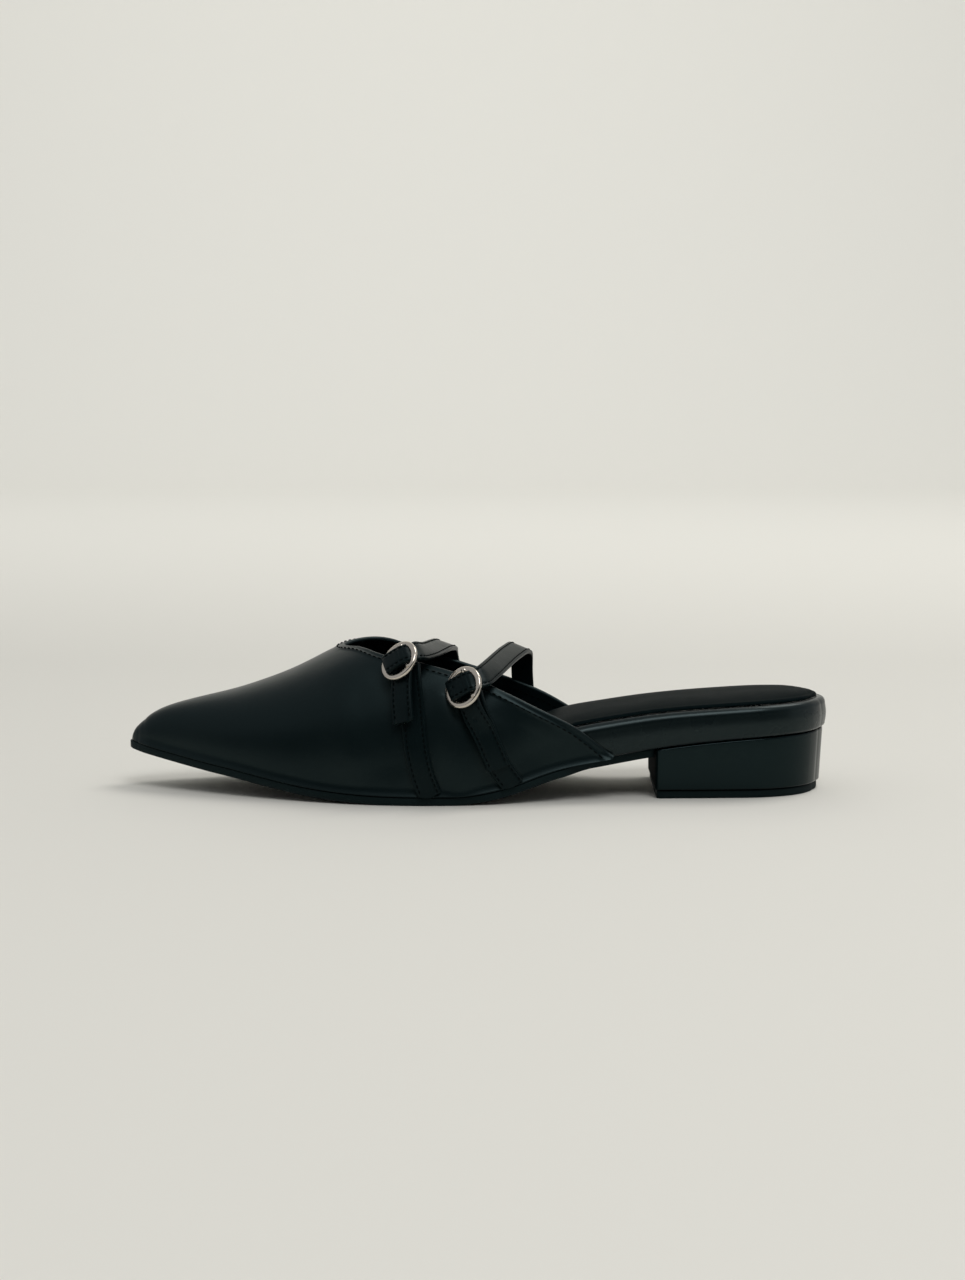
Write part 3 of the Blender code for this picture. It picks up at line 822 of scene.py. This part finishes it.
sockLook = {
    "start": 0.060,
    "rows": 240,
    "columns": 41,
    "inset": 0.0034,
    "thick": 0.0013,
    "round": 0.0016,
    "crown": 0.0014,
    "crownFade": 0.05,
}


def makeSock():
    # Padded sock: a rounded edge, then a crown across it that fades out towards both ends
    look = sockLook
    along = fineEnd(look["start"], 1, look["rows"])
    base = last["wall"] + last["clearance"] + look["inset"]

    def over(x, height):
        return bed(x) + platformHigh(x) + last["clearance"] + height

    profile = []
    for sin, cos in quarter(8):
        inset = base + look["round"] * (1 - cos)
        profile.append((inset, lambda x, rise=look["thick"] * sin: over(x, rise)))
    sheets = band(along, profile, look["columns"])
    fade = np.clip((along - look["start"]) / look["crownFade"], 0, 1)
    fade *= np.clip((1 - along) / look["crownFade"], 0, 1) ** 0.5
    across = np.linspace(-1, 1, look["columns"])
    sheets[1][..., 2] += look["crown"] * fade[:, None] * (1 - np.abs(across) ** 3)
    piece = makePiece("padded_sock", sheets, sockHide, "insole_sock")
    return piece


heelLook = {
    "start": 0.745,
    "rows": 150,
    "topInset": 0.0009,
    "footInset": 0.0019,
    "round": 0.0007,
    "corner": 0.0014,
    "lift": 0.0030,
    "liftInset": 0.0010,
    "liftRound": 0.0005,
}


def cornered(start):
    # Places along the heel, close together round the corners at its breast, and the inset there
    corner = heelLook["corner"]
    bend = 1 - np.cos(np.linspace(0, math.pi / 2, 8))
    near = start + corner / last["length"] * bend
    along = np.concatenate([near, fineEnd(near[-1], 1, heelLook["rows"])[1:]])
    back = np.clip((along - start) * last["length"] / corner, 0, 1)
    return along, corner * (1 - np.sqrt(1 - (1 - back) ** 2))


def makeHeel():
    # Block from the lift up to the bed, with rounded edges and corners
    look = heelLook
    along, corner = cornered(look["start"])
    base = last["wall"] + last["clearance"] + corner
    low = look["lift"] + last["clearance"]
    profile = roundFoot(base + look["footInset"], lambda x: low, look["round"], 5)
    profile += roundHead(
        base + look["topInset"], lambda x: bed(x) - last["clearance"], look["round"], 5
    )
    sheets = band(along, profile)
    piece = makePiece("heel_block_gloss", sheets, heelGloss, "heel_block", sharp=40)
    # The breast under the waist is dull
    piece.data.materials.append(heelBreast)
    breast = toeX + last["length"] * look["start"] + look["corner"] / 4
    for polygon in piece.data.polygons:
        if polygon.center.x < breast:
            polygon.material_index = 1
    return piece


def makeLift():
    # Wear piece under the block, a little smaller than its foot
    look = heelLook
    along, corner = cornered(look["start"] + look["liftInset"] / last["length"] / 2)
    base = last["wall"] + last["clearance"] + look["footInset"] + look["liftInset"] + corner
    profile = roundFoot(base, lambda x: 0, look["liftRound"], 4)
    profile += roundHead(base, lambda x: look["lift"], look["liftRound"], 4)
    return makePiece("lift_rubber", band(along, profile), liftRubber, "top_lift")


makeSole()
makeFootbed()
makeSock()
makeHeel()
makeLift()
print("stage 4: sole, footbed, sock, heel and lift")

strapLook = {
    "width": 0.0085,
    "thick": 0.0016,
    "round": 0.0005,
    "seam": 0.00012,  # line between the two layers, in the edge
    "seamWidth": 0.00018,
    "stitchIn": 0.0012,
    "trough": 0.00012,
    "troughWidth": 0.0005,
    "crown": 0.00015,
    "rows": 110,
    "endDraw": 0.06,  # how far an end's edge draws in and stands out
    "endOut": 0.0002,
    "leanFoot": 1.6,  # in ring radii, where the lean near the ring begins, over the foot and below
    "leanTail": 2.2,
    "leanWhole": 0.8,
    "archStep": 0.0003,
    "pathSoft": 0.06,
    "archSoft": 9,  # rows on either side that are averaged
    "tailSoft": 10,
    "anchorSoft": 12,
    "tailStart": -0.0012,  # from the ring's middle
    "tailShiftOver": 0.012,
    "anchorShiftOver": 0.034,
}
ringLook = {
    "radius": 0.0068,
    "wireWide": 0.00118,
    "wireThick": 0.00095,
    "square": 0.8,  # 1 is a round wire
    "wire": 0.0011,
    "bar": 0.0008,
    "collar": 0.00055,
    "collarLong": 0.0013,
    "ringSteps": (121, 25),
    "barSteps": (61, 17),
}
straps = {
    "front": {
        "path": (
            # turn, along
            (0.00, 0.433),
            (0.18, 0.420),
            (0.31, 0.408),
            (0.59, 0.401),
            (0.70, 0.405),
            (1.40, 0.449),
            (1.70, 0.463),
            (2.00, 0.470),
        ),
        "ring": 0.59,
        "tail": 0.36,
        "leaves": 0.66,
        "lands": 1.42,
        "arch": (
            # middle in millimetres, way to the strap's heel-ward edge
            (-17.5, -13.0, 54.4, 0.72, -0.30, -0.50),
            (-13.0, 11.0, 53.7, 0.86, -0.22, -0.40),
            (-11.3, 26.0, 51.6, 0.92, -0.18, -0.25),
        ),
        "lean": 32,
        "tailLean": 0.75,
        "tailShift": -0.0014,
        "anchorShift": 0.0018,
        "hole": None,
    },
    "rear": {
        "path": (
            # turn, along
            (0.00, 0.546),
            (0.19, 0.519),
            (0.35, 0.497),
            (0.46, 0.485),
            (0.59, 0.499),
            (1.60, 0.561),
            (1.80, 0.564),
            (2.00, 0.566),
        ),
        "ring": 0.46,
        "tail": 0.155,
        "leaves": 0.54,
        "lands": 1.57,
        "arch": (
            (6.2, -22.0, 48.9, 0.70, -0.25, -0.60),
            (11.6, 0.0, 51.0, 0.80, -0.20, -0.50),
            (16.0, 17.0, 51.9, 0.84, -0.18, -0.42),
            (17.8, 26.5, 50.0, 0.95, -0.15, -0.25),
        ),
        "lean": 36,
        "tailLean": 0.0,
        "tailShift": 0.0,
        "anchorShift": 0.0008,
        "hole": -0.0098,  # distance of the punched hole from the ring
    },
}
for word, strap in straps.items():
    curves[word] = denseCurve(strap["path"], 1, strapLook["pathSoft"])
# Height of a ring's middle over the upper
ringHigh = 3.5 * last["clearance"] + 2 * strapLook["thick"] + ringLook["wire"]


def onPath(word, turn, height, step=1e-3):
    # Middle line at a height over the upper, with its way and its outward direction
    def at(place):
        return form(read(word, place), place, -height)

    middle = at(turn)
    run = unit(at(turn + step) - at(turn - step))
    place = read(word, turn)
    shoeWay = form(place + step, turn, -height) - form(place - step, turn, -height)
    outwards = unit(np.cross(shoeWay, run))
    centre = np.array([0, sideways, 0])
    outwards *= np.where((outwards * (middle - centre)).sum(axis=-1, keepdims=True) < 0, -1, 1)
    return middle, run, outwards


def distanceTo(word, place):
    # Length over the form from the ring to a turn, negative on the outer side
    turn = np.linspace(straps[word]["ring"], place, 300)
    base = form(read(word, turn), turn, -last["clearance"])
    length = np.linalg.norm(np.diff(base, axis=0), axis=1).sum()
    return math.copysign(length, place - straps[word]["ring"])


def layer(word, distance, height, kept=0.0):
    # Points at a height over the upper, at distances from the ring. Near the ring the layers lean
    # towards the toe, and lift so that their low edge still clears the upper. A share of the lean
    # can be kept all along.
    strap = straps[word]
    turn = np.linspace(0.004, strap["leaves"] + 0.1, 400)
    length = lengthAlong(form(read(word, turn), turn, -last["clearance"]))
    fromRing = length - np.interp(strap["ring"], turn, length)
    reach = np.where(distance < 0, strapLook["leanTail"], strapLook["leanFoot"])
    near = (reach - np.abs(distance) / ringLook["radius"]) / (reach - strapLook["leanWhole"])
    lean = math.radians(strap["lean"]) * smoothStep(np.clip(near, kept, 1))
    lifted = strapLook["width"] / 2 * np.sin(lean)
    middle, run, outwards = onPath(word, np.interp(distance, fromRing, turn), lifted)
    side = np.cross(run, outwards)
    cos, sin = np.cos(lean)[..., None], np.sin(lean)[..., None]
    face, wide = outwards * cos - side * sin, side * cos + outwards * sin
    return middle + face * np.asarray(height)[..., None], run, face, wide


def strapSection():
    # Outline of a strap's section as (sideways, outwards): crowned top with two stitch troughs,
    # rounded edges with the line between the layers, flat back
    look = strapLook
    half, thick, r = look["width"] / 2, look["thick"] / 2, look["round"]
    across = np.linspace(-half + r, half - r, 33)
    crown = look["crown"] * (1 - (across / half) ** 2)
    for at in (-half + look["stitchIn"], half - look["stitchIn"]):
        crown = crown - bell(across - at, look["troughWidth"], look["trough"])
    theta = np.linspace(math.pi / 2, -math.pi / 2, 11)[1:-1]
    high = np.sin(theta) * thick
    bulge = np.cos(theta) ** 0.7 * r - bell(high, look["seamWidth"], look["seam"])
    right = np.column_stack([half - r + bulge, high])
    left = right[::-1] * (-1, 1)
    top = np.column_stack([across, thick + crown])
    back = np.column_stack([across[::-4], 0 * across[::-4] - thick])
    return np.concatenate([top, right, back, left])


# The strap inside its ring, in millimetres along the ring's heel-ward side, its upward run and its
# face, with the share of the strap's width: from the hidden end behind, round the fold, over the
# bar and out under the wire.
foldPath = (
    # side, run, out, wide
    (-2.6, -1.0, -2.0, 0.60),
    (-4.0, -1.0, -1.1, 0.62),
    (-5.0, -1.0, 0.3, 0.80),
    (-5.3, -0.9, 1.2, 0.96),
    (-4.7, -0.8, 1.75, 1.00),
    (-3.0, -0.5, 1.90, 1.00),
    (0.0, 0.2, 1.95, 1.00),
    (2.6, 1.0, 1.80, 1.00),
    (4.3, 1.6, 0.80, 1.00),
    (5.5, 2.2, -1.20, 1.00),
    (6.8, 3.0, -2.10, 1.00),
)
barEnds = ((0.0004, 0.0066), (0.0048, -0.0047))  # (side, run) where the bar meets the wire
foldLook = {
    "steps": 131,
    "soft": 6,
    "across": (0.37, -0.93),  # the strap's heel-ward direction in the ring, as (side, run)
    "high": 0.0025,  # of its top over the ring's middle
    "creases": (-0.0014, 0.0012),  # beside the bar
    "creaseWidth": 0.0004,
    "creaseDepth": 0.00025,
    "ringOverlap": 30,  # points of the ring and of the wing that are softened with the arch
    "wingOverlap": 12,
}
holeLook = {
    "radius": 0.0010,
    "depth": 0.0012,
    "inRing": -0.0032,  # a second one, beside the bar
    "inRingRadius": 0.0006,
    "inRingDepth": 0.0009,
}


def sunk(walls, pits, creases):
    # How deep each point goes in: flat round pits, and bells across straight creases
    sink = np.zeros(walls.shape[:2])
    for centre, radius, depth in pits:
        sink += depth * np.exp(-((np.linalg.norm(walls - centre, axis=-1) / radius) ** 4))
    for start, end, width, depth in creases:
        along = ((walls - start) @ (end - start) / ((end - start) @ (end - start))).clip(0, 1)
        away = np.linalg.norm(walls - start - along[..., None] * (end - start), axis=-1)
        sink += bell(away, width, depth)
    return sink


def carry(middle, side, section, wide=1.0, pits=(), creases=()):
    # A section carried along a line. The two ends are rounded slightly and closed to their middle.
    # pits are (centre, radius, depth), creases are (start, end, width, depth), both in the top.
    facing = unit(np.cross(side, np.gradient(middle, axis=0)))
    across = (wide * np.ones(len(middle)))[:, None] * section[:, 0]
    walls = middle[:, None] + across[..., None] * side[:, None]
    walls = walls + section[None, :, 1, None] * facing[:, None]
    top = (section[:, 1] > 0)[None, :]
    walls = walls - facing[:, None] * (sunk(walls, pits, creases) * top)[..., None]
    walls = np.concatenate([walls, walls[:, :1]], axis=1)
    walls[..., 2] = np.maximum(walls[..., 2], bed(walls[..., 0]))
    sheets = [walls]
    for end, inside in ((0, 1), (-1, -2)):
        way = unit(walls[end].mean(axis=0) - walls[inside].mean(axis=0))
        centre = walls[end].mean(axis=0)
        out = way * strapLook["endOut"]
        lip = walls[end] + (centre - walls[end]) * strapLook["endDraw"] + out
        cap = np.broadcast_to(centre + out, lip.shape)
        sheets.append(np.stack([walls[end], lip, cap]))
    return sheets, facing


def ringFrame(word):
    # The ring's middle, and its heel-ward, upward and outward directions
    middle, run, face, side = (item[0] for item in layer(word, np.zeros(1), ringHigh))
    return middle, side, run, face


def crossingLine(word):
    # Line of a strap through its ring, over the foot and down the inner wing, with its width
    strap, look = straps[word], foldLook
    centre, ringSide, ringRun, ringFace = ringFrame(word)
    rows = np.arange(len(foldPath))
    cells = sample(np.array(foldPath), rows, np.linspace(0, rows[-1], look["steps"]))
    cells = soften(cells, look["soft"])
    ringPart = centre + 0.001 * (cells[:, :3] @ np.stack([ringSide, ringRun, ringFace]))
    across = unit(look["across"][0] * ringSide + look["across"][1] * ringRun)
    turn = np.linspace(strap["lands"], 1.995, 50)
    low = last["clearance"] + strapLook["thick"] / 2
    innerPart, innerWay, innerFace = onPath(word, turn, low + 0 * turn)
    innerSide = np.cross(innerWay, innerFace)
    # The last of the ring, the arch and the first of the wing are softened as one line
    leave, land = len(ringPart) - look["ringOverlap"], look["wingOverlap"]
    near = np.column_stack([ringPart[leave:], np.tile(across, (look["ringOverlap"], 1))])
    arch = np.array(strap["arch"]) * (0.001, 0.001, 0.001, 1, 1, 1)
    far = np.column_stack([innerPart[:land], innerSide[:land]])
    free = evenly(np.concatenate([near, arch, far]), strapLook["archStep"])
    free = soften(free, strapLook["archSoft"])
    middle = np.concatenate([ringPart[:leave], free[:, :3], innerPart[land:]])
    side = np.concatenate([np.tile(across, (leave, 1)), free[:, 3:], innerSide[land:]])
    way = unit(np.gradient(middle, axis=0))
    side = unit(side - way * (side * way).sum(axis=1)[:, None])
    wide = np.interp(range(len(middle)), range(len(cells)), cells[:, 3])
    return middle, side, wide


def tailLine(word):
    # Line of the free end, which lies on the anchor below the ring
    strap = straps[word]
    start = distanceTo(word, strap["tail"])
    distance = np.linspace(start, strapLook["tailStart"], strapLook["rows"])
    high = 2 * last["clearance"] + 1.5 * strapLook["thick"]
    middle, _, _, side = layer(word, distance, high + 0 * distance, strap["tailLean"])
    share = smoothStep(np.clip(-distance / strapLook["tailShiftOver"], 0, 1))
    middle = middle + side * (strap["tailShift"] * share)[:, None]
    rows = soften(np.column_stack([middle, side]), strapLook["tailSoft"])
    return rows[:, :3], unit(rows[:, 3:]), distance


def anchorLine(word):
    # The anchor lies a little towards the heel of the tail that it carries
    strap = straps[word]
    distance = np.linspace(distanceTo(word, 0.004), -ringLook["bar"], strapLook["rows"])
    low = last["clearance"] + strapLook["thick"] / 2
    middle, _, _, side = layer(word, distance, low + 0 * distance)
    share = np.clip((distance[-1] - distance) / strapLook["anchorShiftOver"], 0, 1)
    shift = strap["anchorShift"] * (0.5 + 0.5 * np.cos(math.pi * share))
    rows = np.column_stack([middle + side * shift[:, None], side])
    rows = soften(rows, strapLook["anchorSoft"])
    return rows[:, :3], unit(rows[:, 3:])


def sewBand(name, middle, side, facing, keep):
    # A row of stitches near either edge, where the band lies above the sole
    look = strapLook
    for word, way in (("toe", -1), ("heel", 1)):
        reach = way * (look["width"] / 2 - look["stitchIn"])
        line = middle + side * reach + facing * (look["thick"] / 2 + look["crown"] * 0.3)
        kept = keep & (line[:, 2] > bed(line[:, 0]) + 0.001)
        row = f"{name}_stitches_{word}"
        makeStitches(row, line[kept], facing[kept], strapStitch)


def makeCrossing(word, section):
    # Sheets of the strap from its ring to the inner side, with two creases beside the bar, and
    # what its stitches need
    centre, ringSide, ringRun, ringFace = ringFrame(word)
    middle, side, wide = crossingLine(word)
    look, hole = foldLook, holeLook
    centre = centre + ringFace * look["high"]
    start, end = (centre + a * ringSide + b * ringRun for a, b in barEnds)
    creases = [
        (start + k * ringSide, end + k * ringSide, look["creaseWidth"], look["creaseDepth"])
        for k in look["creases"]
    ]
    pits = []
    if straps[word]["hole"]:
        spot = centre + hole["inRing"] * ringSide
        pits.append((spot, hole["inRingRadius"], hole["inRingDepth"]))
    sheets, facing = carry(middle, side, section, wide, pits, creases)
    return sheets, (middle, side, facing, wide > 0.99)


def makeTail(word, section):
    # Sheets of the strap's free end, with its punched hole, and what its stitches need
    middle, side, distance = tailLine(word)
    pits = []
    if straps[word]["hole"]:
        spot = sample(middle, distance, [straps[word]["hole"]])[0]
        pits.append((spot, holeLook["radius"], holeLook["depth"]))
    sheets, facing = carry(middle, side, section, pits=pits)
    return sheets, (middle, side, facing, distance > distance[0] + 0.001)


def makeStrap(word):
    # The strap with its tail, and the anchor under it, each with its stitches
    section = strapSection()
    crossing, crossingSeam = makeCrossing(word, section)
    tail, tailSeam = makeTail(word, section)
    sheets = crossing + tail
    makePiece(f"{word}_strap_band", sheets, strapHide, f"{word}_strap", sharp=60)
    sewBand(f"{word}_crossing", *crossingSeam)
    sewBand(f"{word}_tail", *tailSeam)
    middle, side = anchorLine(word)
    sheets, facing = carry(middle, side, section)
    makePiece(f"{word}_anchor_band", sheets, strapHide, f"{word}_anchor", sharp=60)
    sewBand(f"{word}_anchor", middle, side, facing, np.ones(len(middle), bool))


def makeRing(word):
    # Ring: a squarish wire section carried round a circle
    look = ringLook
    middle, side, run, outwards = ringFrame(word)
    around = np.linspace(0, 2 * math.pi, look["ringSteps"][0])[:, None, None]
    wire = np.linspace(0, 2 * math.pi, look["ringSteps"][1])[None, :, None]
    softCos = np.sign(np.cos(wire)) * np.abs(np.cos(wire)) ** look["square"]
    softSin = np.sign(np.sin(wire)) * np.abs(np.sin(wire)) ** look["square"]
    radius = look["radius"] + look["wireWide"] * softCos
    ring = middle + radius * (np.cos(around) * run + np.sin(around) * side)
    ring = ring + look["wireThick"] * softSin * outwards
    makePiece(f"{word}_ring", [ring], ringMetal, f"{word}_buckle")


def makeBar(word):
    # Round bar across the ring, which ends in a small collar each side
    look = ringLook
    middle, side, run, outwards = ringFrame(word)
    first, second = (middle + a * side + b * run for a, b in barEnds)
    way = unit(second - first)
    wide = np.cross(way, outwards)
    share = np.linspace(-0.02, 1.02, look["barSteps"][0])[:, None, None]
    away = np.minimum(share, 1 - share) * np.linalg.norm(second - first)
    size = look["bar"] + look["collar"] * np.exp(-((away / look["collarLong"]) ** 4))
    turn = np.linspace(0, 2 * math.pi, look["barSteps"][1])[None, :, None]
    bar = first + share * (second - first)
    bar = bar + size * (np.cos(turn) * wide + np.sin(turn) * outwards)
    caps = []
    for end in (bar[0], bar[-1]):
        caps.append(np.stack([end, np.broadcast_to(end[:-1].mean(axis=0), end.shape)]))
    makePiece(f"{word}_bar", [bar, *caps], ringMetal, sharp=40)


for word in straps:
    makeStrap(word)
    makeRing(word)
    makeBar(word)
print("stage 5: straps and rings")

studio = {
    "paperTone": (0.80, 0.79, 0.735),
    "paperGloss": 0.1,
    "paperRough": 0.9,
    "sweepWide": 5.0,
    "sweepFront": -4.0,
    "sweepBack": 2.4,
    "sweepRadius": 1.2,
    "sweepHigh": 4.5,
    # Tone of the card: painted shade, the dark of the unlit room on the camera's side
    "cardShadeTone": (0.03, 0.03, 0.03),
    "cardGloss": 0.5,
    "cardPlace": -2.2,  # dark card in front of the shoe, seen only in its leather: painted shade, a dark sheet in place of the unlit room on the camera's side
    "cardWide": 3.5,
    "cardLow": 0.1,
    "cardHigh": 1.5,
    "worldTone": (0.98, 0.985, 1.0),
    "worldStrength": 0.43,
    "cameraPlace": (0.0022, -0.830, 0.1515),
    "cameraDown": 6.55,
    "cameraLens": 62.1,
    "cameraSensor": 36,
}
lamps = {
    "key": {
        "place": (0.9, 0.5, 1.9),
        "target": (0, 0, 0.02),
        "size": 1.1,
        "power": 13,
        "tone": (1.0, 0.97, 0.93),
    },
    "front": {
        "place": (0.35, -1.0, 1.5),
        "target": (0, 0, 0.02),
        "size": 0.9,
        "power": 9,
        "tone": (1, 1, 1),
    },
    "wall": {
        "place": (0.0, 0.6, 3.2),
        "target": (0.0, 3.6, 3.0),
        "size": 3.0,
        "power": 84,
        "tone": (1, 1, 1),
    },
}


def makePaper(name, tone, gloss):
    # Matte paper
    finish, shader = newFinish(name, tone)
    shader.inputs["Roughness"].default_value = studio["paperRough"]
    shader.inputs["Specular IOR Level"].default_value = gloss
    return finish


def addSheet(name, points, faces, finish):
    mesh = bpy.data.meshes.new(name)
    mesh.from_pydata(points, [], faces)
    mesh.shade_smooth()
    mesh.materials.append(finish)
    sheet = bpy.data.objects.new(name, mesh)
    bpy.context.scene.collection.objects.link(sheet)
    return sheet


def makeStage():
    # One seamless sheet: floor, a quarter circle, then a wall
    angle = np.linspace(0, math.pi / 2, 25)
    radius, back, wide = studio["sweepRadius"], studio["sweepBack"], studio["sweepWide"]
    y = np.concatenate([[studio["sweepFront"]], back + radius * np.sin(angle), [back + radius]])
    z = np.concatenate([[0.0], radius * (1 - np.cos(angle)), [studio["sweepHigh"]]])
    points = [(x, b, c) for b, c in zip(y, z) for x in (-wide, wide)]
    finish = makePaper("studio paper", studio["paperTone"], studio["paperGloss"])
    sweep = addSheet("studio_sweep", points, gridFaces(len(y), 2, 0).tolist(), finish)


def makeCard():
    # Stands behind the camera, facing the shoe. Its near-black paper is painted shade in place of
    # the unlit room, so the leather reflects darkness there
    y, low, high, wide = (studio[key] for key in ("cardPlace", "cardLow", "cardHigh", "cardWide"))
    corners = [(-wide, y, low), (wide, y, low), (wide, y, high), (-wide, y, high)]
    # Painted shade: near-black paper that the leather reflects as the dark room
    finish = makePaper("painted shade card", studio["cardShadeTone"], studio["cardGloss"])
    card = addSheet("painted_shade_card", corners, [(3, 2, 1, 0)], finish)


def makeLamp(name, look):
    # A round lamp turned to its target
    data = bpy.data.lights.new(name, "AREA")
    data.shape = "DISK"
    data.size = look["size"]
    data.energy = look["power"]
    data.color = look["tone"]
    lamp = bpy.data.objects.new(name, data)
    lamp.location = look["place"]
    way = Vector(look["target"]) - Vector(look["place"])
    lamp.rotation_euler = way.to_track_quat("-Z", "Y").to_euler()
    bpy.context.scene.collection.objects.link(lamp)


def makeWorld():
    # Even light from all round
    world = bpy.data.worlds.new("studio air")
    world.use_nodes = True
    air = world.node_tree.nodes["Background"]
    air.inputs["Color"].default_value = (*studio["worldTone"], 1)
    air.inputs["Strength"].default_value = studio["worldStrength"]
    bpy.context.scene.world = world


def makeCamera():
    # Looks level along Y, tipped down, at the outer side
    data = bpy.data.cameras.new("camera")
    data.sensor_fit = "AUTO"
    data.sensor_width = studio["cameraSensor"]
    data.lens = studio["cameraLens"]
    camera = bpy.data.objects.new("camera", data)
    x, y, z = studio["cameraPlace"]
    camera.location = (x, y + sideways, z)
    camera.rotation_euler = (math.radians(90 - studio["cameraDown"]), 0, 0)
    bpy.context.scene.collection.objects.link(camera)
    bpy.context.scene.camera = camera


makeStage()
makeCard()
for name, look in lamps.items():
    makeLamp(name, look)
makeWorld()
makeCamera()
bpy.context.scene.view_settings.view_transform = "Standard"
print("stage 6: studio, lights and camera")
